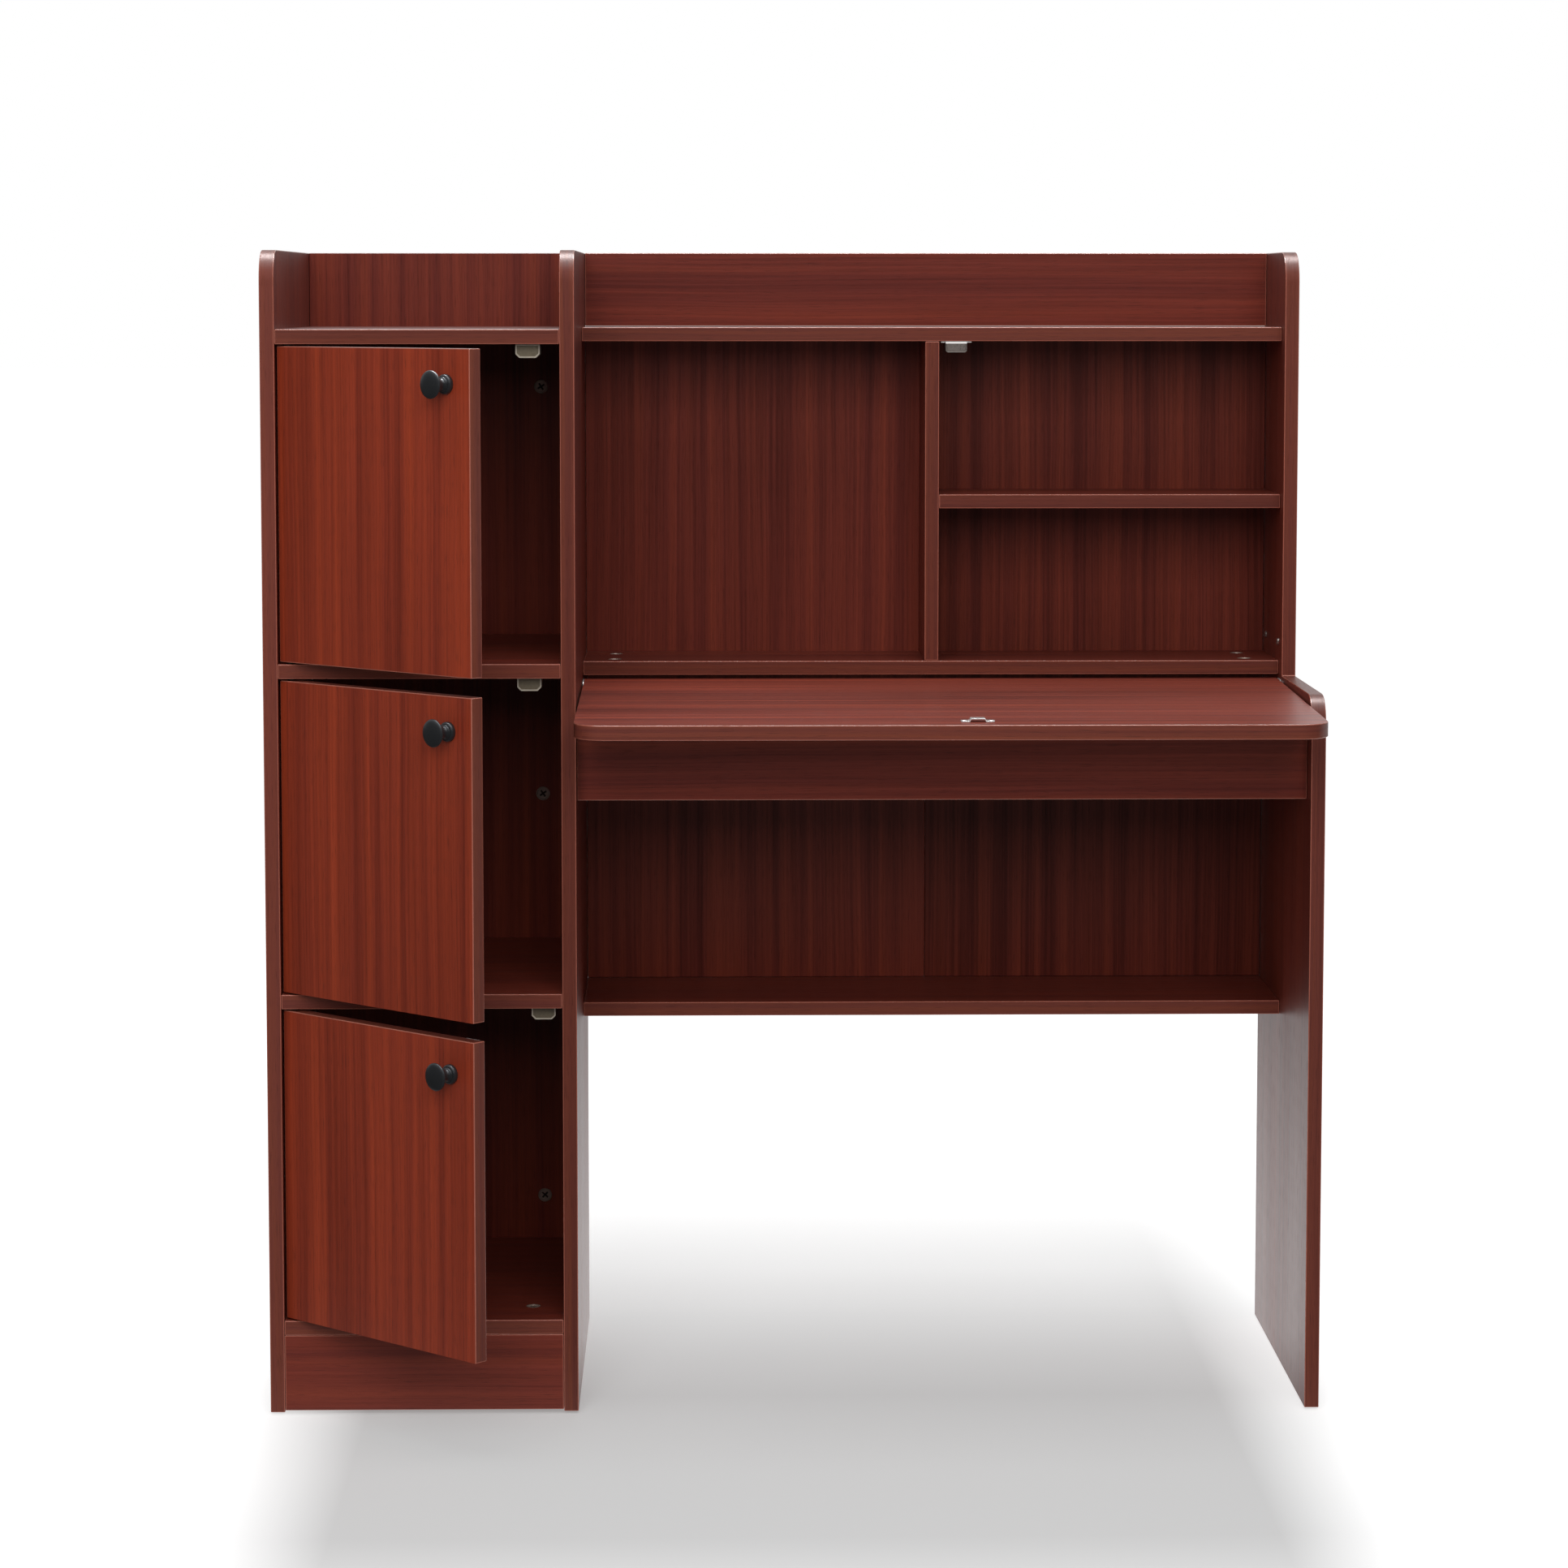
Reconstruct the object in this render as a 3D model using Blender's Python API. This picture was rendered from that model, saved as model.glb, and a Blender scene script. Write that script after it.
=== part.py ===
"""Secretary desk: a tower with three doors, a hutch and a fold-down desktop.

Metres, +Z up. Layout coordinates run from the outer face of the left upright (X), from the
front edge of the uprights towards the wall (Y) and from the underside of the uprights (Z).
The desk_origin empty carries the whole desk, so that the world's origin lies on the floor
under the front foot glide of the middle upright.
"""

import math

import bmesh
import bpy
from mathutils import Matrix, Vector

# ---------------------------------------------------------------- driving dimensions
BOARD = 0.015                   # thickness of every board
UPRIGHT_HEIGHT = 1.200
UPRIGHT_DEPTH = 0.393
UPRIGHT_CORNER = 0.032          # rounded top front corner of an upright
TOWER_WIDTH = 0.289             # clear width between the left and middle uprights
BAY_WIDTH = 0.755               # clear width between the middle and right uprights

GALLERY_HEIGHT = 0.0805         # boards standing above the top shelves
FLOOR_BOARD_Z = 0.0815          # underside of the tower's floor board
KICK_BOARD_LIFT = 0.002         # underside of the kick board above the uprights' underside

ARM_HEIGHT = 0.744              # top of the right upright's arm, underside of the hutch
ARM_CORNER = 0.030
HUTCH_DEPTH = 0.1665            # depth of the right upright beside the hutch
SHELF_SETBACK = 0.0235          # hutch shelves behind the front of the hutch side

LOWER_SHELF_Z = 0.3765          # underside of the shelf over the open leg space
LOWER_SHELF_DEPTH = 0.177
APRON_SETBACK = 0.028
APRON_DROP = 0.1094             # apron's lower edge below the top of the arm

LEAF_SIDE_GAP = 0.002
LEAF_CORNER = 0.030
LEAF_LIP = 0.007                # closed leaf's edge above the hutch's top shelf
LEAF_SHELF_GAP = 0.0025         # closed leaf in front of the hutch's shelves
LEAF_BELOW_ARM = 0.004          # open leaf's upper face below the top of the arm
LEAF_DROOP = 1.3                # degrees that the open leaf slopes down to the front

DOOR_GAP = 0.002                # above and below each door
DOOR_HINGE_GAP = 0.004          # between door and left upright
DOOR_FREE_GAP = 0.0025          # between door and middle upright
DOOR_PIVOT_INSET = 0.010        # pivot axis from the door's hinge edge
DOOR_OPEN = 43.0                # degrees that the doors stand open

DOOR_PIN_RADIUS = 0.0025
DOOR_PIN_COLLAR_RADIUS = 0.0045
DOOR_PIN_WEB = 0.002            # board left between two pins' bores in one shelf
DOOR_PIN_REACH = 0.018          # length of the pin in the door
LEAF_PIN_RADIUS = 0.003
LEAF_PIN_DEPTH = 0.008          # length of the pin in the upright
LEAF_PIN_REACH = 0.020          # length of the pin in the leaf
LEAF_PLATE = (0.030, 0.015, 0.0012)    # length, width and thickness of the pivot plate

KNOB_EDGE_DISTANCE = 0.0325     # knob's axis from the door's free edge
KNOB_TOP_DISTANCE = 0.035       # knob's axis from the door's top edge
KNOB_BASE_RADIUS = 0.010
KNOB_NECK_RADIUS = 0.0055
KNOB_CAP_RADIUS = 0.014
KNOB_LENGTH = 0.025
KNOB_DOME = (0.50, 0.975)       # shares of the cap's radius and of the knob's length
KNOB_SHOULDER = (0.85, 0.90)
KNOB_UNDERCUT = (0.80, 0.68)
KNOB_RIM = (0.74, 0.81)         # the cap's rim, from and to these shares of the length
KNOB_NECK = (0.22, 0.52)
KNOB_BASE_END = 0.10
KNOB_SCREW_RADIUS = 0.002
KNOB_SCREW_BITE = 0.010         # length of the screw in the knob
KNOB_SCREW_HEAD = (0.0045, 0.0022)
KNOB_SCREW_BEVEL = 0.6          # share of the head's radius and height where its bevel ends

CATCH_SIZE = (0.025, 0.034, 0.014)     # width, depth and height
CATCH_CHAMFER = 0.004           # lower corners of a catch, seen from the front
CATCH_INSETS = {"upper": 0.033, "middle": 0.033, "lower": 0.020}
CATCH_GAP = 0.0002              # between a shut door's strike plate and its catch
STRIKE_SIZE = (0.022, 0.010, 0.0012)
LEAF_CATCH_SIZE = (0.023, 0.030, 0.012)
LEAF_CATCH_EARS = (0.033, 0.0022)      # width and thickness of its fixing plate
LEAF_CATCH_OFFSET = 0.0185      # catch's centre right of the hutch divider
LEAF_CATCH_GAP = 0.0005
LEAF_STRIKE_SIZE = (0.034, 0.012, 0.0012)
LEAF_STRIKE_PAD = (0.017, 0.0035)

CAM_RADIUS = 0.0075
CAM_WEB = 0.0025                # board left behind a cam lock's bore
CAM_EDGE_DISTANCE = 0.034       # cam lock's centre from the upright beside it
CAM_CROSS = (0.0085, 0.0018, 0.0018)
BACK_CAM_DROPS = (0.0515, 0.164, 0.278)     # below the shelf over each compartment
FLOOR_CAM_SETBACK = 0.060
HUTCH_CAM_SETBACKS = (0.028, 0.094)

UPRIGHT_SCREW_RADIUS = 0.00175
UPRIGHT_SCREW_WEB = 0.003       # board left behind the screw's hole
UPRIGHT_SCREW_HEAD = (0.0038, 0.0024)
UPRIGHT_SCREW_DOME = (0.55, 0.85)      # shares of the head's radius and height
UPRIGHT_SCREW_RIM = 0.3         # share of the head's height that stands straight
UPRIGHT_SCREW_LIFT = 0.020      # above the hutch's bottom board
UPRIGHT_SCREW_SETBACKS = (0.005, 0.102)

GLIDE_RADIUS = 0.005
GLIDE_HEIGHT = 0.003
GLIDE_CHAMFER = 0.0008
GLIDE_SETBACK = 0.020           # from the front and from the rear of an upright

CONTACT_GAP = 0.0003            # between pieces that rest on or sit in each other
CORNER_STEPS = 6
ROUND_SEGMENTS = 20             # sides of knobs and cam locks
SMALL_SEGMENTS = 12             # sides of pins, screws and glides

# ---------------------------------------------------------------- layout worked out from them
LEFT_INNER = BOARD
MIDDLE_LEFT = LEFT_INNER + TOWER_WIDTH
MIDDLE_RIGHT = MIDDLE_LEFT + BOARD
RIGHT_INNER = MIDDLE_RIGHT + BAY_WIDTH
BAY_CENTRE = MIDDLE_RIGHT + BAY_WIDTH / 2

BACK_FRONT = UPRIGHT_DEPTH - BOARD              # front face of the back boards
HUTCH_FRONT = UPRIGHT_DEPTH - HUTCH_DEPTH
SHELF_FRONT = HUTCH_FRONT + SHELF_SETBACK
LOWER_SHELF_FRONT = UPRIGHT_DEPTH - LOWER_SHELF_DEPTH
APRON_REAR = APRON_SETBACK + BOARD

TOP_SHELF_TOP = UPRIGHT_HEIGHT - GALLERY_HEIGHT
TOP_SHELF_Z = TOP_SHELF_TOP - BOARD
FLOOR_BOARD_TOP = FLOOR_BOARD_Z + BOARD
COMPARTMENT = (TOP_SHELF_Z - FLOOR_BOARD_TOP - 2 * BOARD) / 3
COMPARTMENT_FLOORS = {
    "lower": FLOOR_BOARD_TOP,
    "middle": FLOOR_BOARD_TOP + COMPARTMENT + BOARD,
    "upper": FLOOR_BOARD_TOP + 2 * (COMPARTMENT + BOARD),
}
HUTCH_FLOOR = ARM_HEIGHT + BOARD
DIVIDER_LEFT = BAY_CENTRE - BOARD / 2
DIVIDER_RIGHT = BAY_CENTRE + BOARD / 2
MIDDLE_SHELF_Z = (HUTCH_FLOOR + TOP_SHELF_Z - BOARD) / 2

LEAF_PIVOT_Y = SHELF_FRONT - LEAF_SHELF_GAP - BOARD / 2
LEAF_PIVOT_Z = ARM_HEIGHT - LEAF_BELOW_ARM - BOARD / 2
LEAF_WIDTH = BAY_WIDTH - 2 * LEAF_SIDE_GAP
LEAF_REACH = TOP_SHELF_TOP + LEAF_LIP - LEAF_PIVOT_Z
LEAF_TAIL = SHELF_FRONT - LEAF_PIVOT_Y
DROOP = math.radians(LEAF_DROOP)
APRON_TOP = (LEAF_PIVOT_Z - BOARD / 2 / math.cos(DROOP)
             - (LEAF_PIVOT_Y - APRON_SETBACK) * math.tan(DROOP) - CONTACT_GAP)

DOOR_WIDTH = TOWER_WIDTH - DOOR_HINGE_GAP - DOOR_FREE_GAP
DOOR_HEIGHT = COMPARTMENT - 2 * DOOR_GAP
DOOR_PIVOT_X = LEFT_INNER + DOOR_HINGE_GAP + DOOR_PIVOT_INSET
DOOR_FREE_EDGE = DOOR_WIDTH - DOOR_PIVOT_INSET  # from the pivot
DOOR_PIN_DEPTH = (BOARD - DOOR_PIN_WEB) / 2 - CONTACT_GAP

CAM_DEPTH = BOARD - CAM_WEB - CONTACT_GAP
UPRIGHT_SCREW_DEPTH = BOARD - UPRIGHT_SCREW_WEB - CONTACT_GAP

GLIDE_ROWS = {"front": GLIDE_SETBACK, "rear": UPRIGHT_DEPTH - GLIDE_SETBACK}
UPRIGHT_LEFTS = {"left": 0.0, "middle": MIDDLE_LEFT, "right": RIGHT_INNER}

PLANES = {"XY": ("X", "Y", "Z"), "XZ": ("X", "Z", "Y"), "YZ": ("Y", "Z", "X")}
UNIT = {"X": Vector((1, 0, 0)), "Y": Vector((0, 1, 0)), "Z": Vector((0, 0, 1))}

MATERIALS = {
    # name: (colour, roughness, metallic)
    "door_laminate": ((0.180, 0.027, 0.014), 0.35, 0.0),
    "carcass_laminate": ((0.120, 0.026, 0.017), 0.38, 0.0),
    "desktop_laminate": ((0.160, 0.030, 0.020), 0.33, 0.0),
    "black_enamel": ((0.012, 0.012, 0.013), 0.40, 0.2),
    "bright_steel": ((0.550, 0.550, 0.540), 0.30, 1.0),
    "cream_plastic": ((0.520, 0.460, 0.380), 0.50, 0.0),
    "cam_metal": ((0.230, 0.130, 0.100), 0.45, 0.6),
    "pale_plastic": ((0.600, 0.560, 0.500), 0.55, 0.0),
}


# ---------------------------------------------------------------- modelling helpers
def clear_scene():
    """Remove every object that the file opened with."""
    for old in list(bpy.data.objects):
        bpy.data.objects.remove(old, do_unlink=True)


def material(name):
    """The named Principled material, made once."""
    if name in bpy.data.materials:
        return bpy.data.materials[name]
    colour, roughness, metallic = MATERIALS[name]
    made = bpy.data.materials.new(name)
    made.use_nodes = True
    shader = made.node_tree.nodes["Principled BSDF"]
    shader.inputs["Base Color"].default_value = (*colour, 1.0)
    shader.inputs["Roughness"].default_value = roughness
    shader.inputs["Metallic"].default_value = metallic
    return made


def empty(name, location, parent=None, rotation=(0.0, 0.0, 0.0)):
    """A guide that carries the pieces of one body."""
    guide = bpy.data.objects.new(name, None)
    bpy.context.scene.collection.objects.link(guide)
    guide.parent = parent
    guide.location = location
    guide.rotation_euler = rotation
    return guide


def add(name, builder, finish, parent, location=(0.0, 0.0, 0.0), rotation=(0.0, 0.0, 0.0)):
    """Link a bmesh into the scene as one named piece."""
    bmesh.ops.recalc_face_normals(builder, faces=builder.faces)
    mesh = bpy.data.meshes.new(name)
    builder.to_mesh(mesh)
    builder.free()
    piece = bpy.data.objects.new(name, mesh)
    bpy.context.scene.collection.objects.link(piece)
    piece.parent = parent
    piece.location = location
    piece.rotation_euler = rotation
    if finish:
        mesh.materials.append(material(finish))
    return piece


def arc(centre, radius, start, end):
    """Points of an arc in a plane, from start to end degrees."""
    points = []
    for step in range(CORNER_STEPS + 1):
        angle = math.radians(start + (end - start) * step / CORNER_STEPS)
        points.append((centre[0] + radius * math.cos(angle), centre[1] + radius * math.sin(angle)))
    return points


def prism(outline, plane, start, end):
    """A closed solid: an outline in a plane, extruded across the plane from start to end."""
    first, second, across = (UNIT[axis] for axis in PLANES[plane])
    builder = bmesh.new()
    corners = [builder.verts.new(first * u + second * v + across * start) for u, v in outline]
    face = builder.faces.new(corners)
    extruded = bmesh.ops.extrude_face_region(builder, geom=[face])
    far = [item for item in extruded["geom"] if isinstance(item, bmesh.types.BMVert)]
    bmesh.ops.translate(builder, verts=far, vec=across * (end - start))
    return builder


def rectangle(low, high):
    """Corners of a rectangle in a plane."""
    return [low, (high[0], low[1]), high, (low[0], high[1])]


def board(name, low, high, finish, parent):
    """A plain board; its origin is its lowest corner."""
    size = Vector(high) - Vector(low)
    builder = prism(rectangle((0.0, 0.0), (size.x, size.y)), "XY", 0.0, size.z)
    return add(name, builder, finish, parent, low)


def rods(centres, radius, length, axis, segments=SMALL_SEGMENTS):
    """Parallel round rods, centred at the given points."""
    builder = bmesh.new()
    turn = UNIT["Z"].rotation_difference(UNIT[axis]).to_matrix().to_4x4()
    for centre in centres:
        bmesh.ops.create_cone(
            builder, cap_ends=True, segments=segments, radius1=radius, radius2=radius,
            depth=length, matrix=Matrix.Translation(centre) @ turn)
    return builder


def cut(piece, builder, name):
    """Cut a bmesh, in the frame of the piece's parent, out of the piece."""
    cutter = add(name, builder, None, piece.parent)
    cutter.hide_render = True
    cutter.display_type = "WIRE"
    modifier = piece.modifiers.new(name, "BOOLEAN")
    modifier.operation = "DIFFERENCE"
    modifier.solver = "EXACT"
    modifier.object = cutter


def bore(piece, mouths, radius, depth, axis, direction, name, segments=SMALL_SEGMENTS):
    """Blind holes of one depth that enter a face of the piece at the given points."""
    overshoot = CONTACT_GAP
    shift = UNIT[axis] * direction * (depth - overshoot) / 2
    centres = [Vector(mouth) + shift for mouth in mouths]
    cut(piece, rods(centres, radius, depth + overshoot, axis, segments), name)


def turned(name, profile, finish, parent, location, rotation=(0.0, 0.0, 0.0),
           segments=SMALL_SEGMENTS):
    """A solid of revolution about its own Z; the profile of (radius, z) runs from top to bottom."""
    builder = bmesh.new()
    points = [builder.verts.new((radius, 0.0, z)) for radius, z in profile]
    for upper, lower in zip(points, points[1:]):
        builder.edges.new((upper, lower))
    piece = add(name, builder, finish, parent, location, rotation)
    modifier = piece.modifiers.new("turning", "SCREW")
    modifier.axis = "Z"
    modifier.angle = math.tau
    modifier.steps = segments
    modifier.render_steps = segments
    modifier.use_merge_vertices = True
    modifier.merge_threshold = 0.00001
    modifier.use_smooth_shade = True
    return piece


# ---------------------------------------------------------------- carcass
def build_uprights(desk):
    """The three full-height side boards."""
    corner = UPRIGHT_CORNER
    plain = [(0.0, 0.0), (UPRIGHT_DEPTH, 0.0), (UPRIGHT_DEPTH, UPRIGHT_HEIGHT)]
    plain += arc((corner, UPRIGHT_HEIGHT - corner), corner, 90, 180)

    stepped = [(0.0, 0.0), (UPRIGHT_DEPTH, 0.0), (UPRIGHT_DEPTH, UPRIGHT_HEIGHT)]
    stepped += arc((HUTCH_FRONT + corner, UPRIGHT_HEIGHT - corner), corner, 90, 180)
    stepped += [(HUTCH_FRONT, ARM_HEIGHT)]
    stepped += arc((ARM_CORNER, ARM_HEIGHT - ARM_CORNER), ARM_CORNER, 90, 180)

    uprights = {}
    for side, left in UPRIGHT_LEFTS.items():
        outline = stepped if side == "right" else plain
        uprights[side] = add(side + "_upright", prism(outline, "YZ", 0.0, BOARD),
                             "carcass_laminate", desk, (left, 0.0, 0.0))
    return uprights


def build_tower(desk):
    """Shelves, floor, kick board and back of the tower; returns the boards by name."""
    left = LEFT_INNER + CONTACT_GAP
    right = MIDDLE_LEFT - CONTACT_GAP
    rear = BACK_FRONT - CONTACT_GAP
    shelf_places = {
        "tower_top_shelf": TOP_SHELF_Z,
        "tower_shelf_upper": COMPARTMENT_FLOORS["upper"] - BOARD,
        "tower_shelf_lower": COMPARTMENT_FLOORS["middle"] - BOARD,
        "tower_floor_board": FLOOR_BOARD_Z,
    }
    boards = {}
    for name, z in shelf_places.items():
        boards[name] = board(name, (left, 0.0, z), (right, rear, z + BOARD), "carcass_laminate", desk)
    board("tower_kick_board", (left, 0.0, KICK_BOARD_LIFT),
          (right, BOARD, FLOOR_BOARD_Z - CONTACT_GAP), "carcass_laminate", desk)
    boards["tower_back_board"] = board(
        "tower_back_board", (left, BACK_FRONT, KICK_BOARD_LIFT),
        (right, UPRIGHT_DEPTH, UPRIGHT_HEIGHT), "carcass_laminate", desk)
    return boards


def build_hutch(desk):
    """Shelves, divider, gallery and back boards of the bay; returns the bottom board."""
    left = MIDDLE_RIGHT + CONTACT_GAP
    right = RIGHT_INNER - CONTACT_GAP
    rear = BACK_FRONT - CONTACT_GAP
    finish = "carcass_laminate"
    board("hutch_top_shelf", (left, SHELF_FRONT, TOP_SHELF_Z),
          (right, UPRIGHT_DEPTH, TOP_SHELF_TOP), finish, desk)
    board("hutch_gallery_board", (left, BACK_FRONT, TOP_SHELF_TOP + CONTACT_GAP),
          (right, UPRIGHT_DEPTH, UPRIGHT_HEIGHT), finish, desk)
    board("hutch_divider", (DIVIDER_LEFT, SHELF_FRONT, HUTCH_FLOOR + CONTACT_GAP),
          (DIVIDER_RIGHT, rear, TOP_SHELF_Z - CONTACT_GAP), finish, desk)
    board("hutch_middle_shelf", (DIVIDER_RIGHT + CONTACT_GAP, SHELF_FRONT, MIDDLE_SHELF_Z),
          (right, rear, MIDDLE_SHELF_Z + BOARD), finish, desk)
    bottom = board("hutch_bottom_board", (left, SHELF_FRONT, ARM_HEIGHT),
                   (right, rear, HUTCH_FLOOR), finish, desk)

    back_low = LOWER_SHELF_Z + BOARD + CONTACT_GAP
    back_high = TOP_SHELF_Z - CONTACT_GAP
    board("hutch_back_left", (left, BACK_FRONT, back_low),
          (BAY_CENTRE - CONTACT_GAP / 2, UPRIGHT_DEPTH, back_high), finish, desk)
    board("hutch_back_right", (BAY_CENTRE + CONTACT_GAP / 2, BACK_FRONT, back_low),
          (right, UPRIGHT_DEPTH, back_high), finish, desk)
    board("lower_shelf", (left, LOWER_SHELF_FRONT, LOWER_SHELF_Z),
          (right, UPRIGHT_DEPTH, LOWER_SHELF_Z + BOARD), finish, desk)
    board("apron", (left, APRON_SETBACK, ARM_HEIGHT - APRON_DROP),
          (right, APRON_REAR, APRON_TOP), finish, desk)
    return bottom


def build_glides(desk):
    """Two foot glides under each upright."""
    for side, left in UPRIGHT_LEFTS.items():
        for row, y in GLIDE_ROWS.items():
            top = -CONTACT_GAP
            profile = [(0.0, top), (GLIDE_RADIUS, top),
                       (GLIDE_RADIUS, GLIDE_CHAMFER - GLIDE_HEIGHT),
                       (GLIDE_RADIUS - GLIDE_CHAMFER, -GLIDE_HEIGHT), (0.0, -GLIDE_HEIGHT)]
            turned(f"foot_glide_{side}_{row}", profile, "pale_plastic", desk,
                   (left + BOARD / 2, y, 0.0))


# ---------------------------------------------------------------- hardware of the carcass
def cam_lock(name, host, face_centre, axis, direction, desk):
    """A cam lock sunk in a bore of its board, flush with the face that it enters."""
    bore(host, [face_centre], CAM_RADIUS + CONTACT_GAP, CAM_DEPTH + CONTACT_GAP, axis, direction,
         name + "_bore", ROUND_SEGMENTS)
    centre = Vector(face_centre) + UNIT[axis] * direction * CAM_DEPTH / 2
    body = rods([centre], CAM_RADIUS, CAM_DEPTH, axis, ROUND_SEGMENTS)
    lock = add(name, body, "cam_metal", desk)

    length, width, depth = CAM_CROSS
    outline = []
    for quarter in range(4):
        turn = Matrix.Rotation(quarter * math.pi / 2, 2)
        for corner in ((width / 2, width / 2), (width / 2, length / 2), (-width / 2, length / 2)):
            outline.append(tuple(turn @ Vector(corner)))
    plane = next(key for key, axes in PLANES.items() if axes[2] == axis)
    first, second, across = (UNIT[letter] for letter in PLANES[plane])
    mouth = Vector(face_centre)
    placed = [(mouth.dot(first) + u, mouth.dot(second) + v) for u, v in outline]
    level = mouth.dot(across)
    cross = prism(placed, plane, level - direction * CONTACT_GAP, level + direction * depth)
    cut(lock, cross, name + "_cross")


def build_cam_locks(desk, tower, hutch_bottom):
    """Cam locks in the tower's back and floor boards and in the hutch's bottom board."""
    near_middle = MIDDLE_LEFT - CAM_EDGE_DISTANCE
    for (level, floor), drop in zip(reversed(COMPARTMENT_FLOORS.items()), BACK_CAM_DROPS):
        centre = (near_middle, BACK_FRONT, floor + COMPARTMENT - drop)
        cam_lock("cam_lock_back_" + level, tower["tower_back_board"], centre, "Y", 1, desk)
    cam_lock("cam_lock_floor", tower["tower_floor_board"],
             (near_middle, FLOOR_CAM_SETBACK, FLOOR_BOARD_TOP), "Z", -1, desk)

    columns = {"left": MIDDLE_RIGHT + CAM_EDGE_DISTANCE, "right": RIGHT_INNER - CAM_EDGE_DISTANCE}
    rows = dict(zip(("front", "rear"), HUTCH_CAM_SETBACKS))
    for side, x in columns.items():
        for row, setback in rows.items():
            cam_lock(f"cam_lock_hutch_{side}_{row}", hutch_bottom,
                     (x, SHELF_FRONT + setback, HUTCH_FLOOR), "Z", -1, desk)


def build_upright_screws(desk, upright):
    """Two round-headed screws on the inner face of the right upright."""
    head_radius, head_height = UPRIGHT_SCREW_HEAD
    dome_radius, dome_height = UPRIGHT_SCREW_DOME
    profile = [(0.0, head_height), (head_radius * dome_radius, head_height * dome_height),
               (head_radius, head_height * UPRIGHT_SCREW_RIM), (head_radius, CONTACT_GAP),
               (UPRIGHT_SCREW_RADIUS, CONTACT_GAP), (UPRIGHT_SCREW_RADIUS, -UPRIGHT_SCREW_DEPTH),
               (0.0, -UPRIGHT_SCREW_DEPTH)]
    z = HUTCH_FLOOR + UPRIGHT_SCREW_LIFT
    for row, setback in zip(("front", "rear"), UPRIGHT_SCREW_SETBACKS):
        mouth = (RIGHT_INNER, SHELF_FRONT + setback, z)
        bore(upright, [mouth], UPRIGHT_SCREW_RADIUS + CONTACT_GAP,
             UPRIGHT_SCREW_DEPTH + CONTACT_GAP, "X", 1, f"upright_screw_{row}_bore")
        turned("upright_screw_" + row, profile, "bright_steel", desk, mouth,
               (0.0, -math.pi / 2, 0.0))


def build_catches(desk):
    """Catches under the shelves, for the doors and for the leaf."""
    width, depth, height = CATCH_SIZE
    front = BOARD + CONTACT_GAP + STRIKE_SIZE[2] + CATCH_GAP
    outline = [(-width / 2, 0.0)] + catch_nose(width, height) + [(width / 2, 0.0)]
    for level, inset in CATCH_INSETS.items():
        top = COMPARTMENT_FLOORS[level] + COMPARTMENT - CONTACT_GAP
        add("door_catch_" + level, prism(outline, "XZ", 0.0, depth), "cream_plastic", desk,
            (MIDDLE_LEFT - inset, front, top))

    width, depth, height = LEAF_CATCH_SIZE
    ears_width, ears_height = LEAF_CATCH_EARS
    outline = [(-ears_width / 2, 0.0), (-ears_width / 2, -ears_height), (-width / 2, -ears_height)]
    outline += catch_nose(width, height)
    outline += [(width / 2, -ears_height), (ears_width / 2, -ears_height), (ears_width / 2, 0.0)]
    add("leaf_catch", prism(outline, "XZ", 0.0, depth), "bright_steel", desk,
        (leaf_catch_centre(), leaf_catch_front(), TOP_SHELF_Z - CONTACT_GAP))


def catch_nose(width, height):
    """The chamfered lower end of a catch, from its left side to its right."""
    shoulder = -height + CATCH_CHAMFER
    inner = width / 2 - CATCH_CHAMFER
    return [(-width / 2, shoulder), (-inner, -height), (inner, -height), (width / 2, shoulder)]


def leaf_catch_centre():
    """X of the leaf's catch and of its strike plate."""
    return DIVIDER_RIGHT + LEAF_CATCH_OFFSET


def leaf_catch_front():
    """Y of the catch's face: just behind the strike plate's pad of the closed leaf."""
    leaf_face = LEAF_PIVOT_Y + BOARD / 2
    return leaf_face + CONTACT_GAP + LEAF_STRIKE_PAD[1] + LEAF_CATCH_GAP


# ---------------------------------------------------------------- doors
def build_door(level, desk, shelf_below, shelf_above):
    """One inset door with its pins, knob, screw and strike plate."""
    floor = COMPARTMENT_FLOORS[level]
    pivot = empty(f"door_{level}_pivot", (DOOR_PIVOT_X, BOARD / 2, floor + DOOR_GAP), desk,
                  (0.0, 0.0, -math.radians(DOOR_OPEN)))
    door = board("door_" + level, (-DOOR_PIVOT_INSET, -BOARD / 2, 0.0),
                 (DOOR_FREE_EDGE, BOARD / 2, DOOR_HEIGHT), "door_laminate", pivot)

    reach = DOOR_PIN_REACH + CONTACT_GAP
    bore_radius = DOOR_PIN_RADIUS + CONTACT_GAP
    bore(door, [(0.0, 0.0, 0.0)], bore_radius, reach, "Z", 1, f"door_{level}_lower_bore")
    bore(door, [(0.0, 0.0, DOOR_HEIGHT)], bore_radius, reach, "Z", -1, f"door_{level}_upper_bore")
    build_door_pins(level, desk, shelf_below, shelf_above, floor)
    build_knob(level, pivot, door)

    width, height, thickness = STRIKE_SIZE
    catch_centre = MIDDLE_LEFT - CATCH_INSETS[level] - DOOR_PIVOT_X
    catch_middle = CONTACT_GAP + CATCH_SIZE[2] / 2 - DOOR_GAP
    face = BOARD / 2 + CONTACT_GAP
    board("door_strike_" + level,
          (catch_centre - width / 2, face, DOOR_HEIGHT - catch_middle - height / 2),
          (catch_centre + width / 2, face + thickness, DOOR_HEIGHT - catch_middle + height / 2),
          "bright_steel", pivot)


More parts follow.
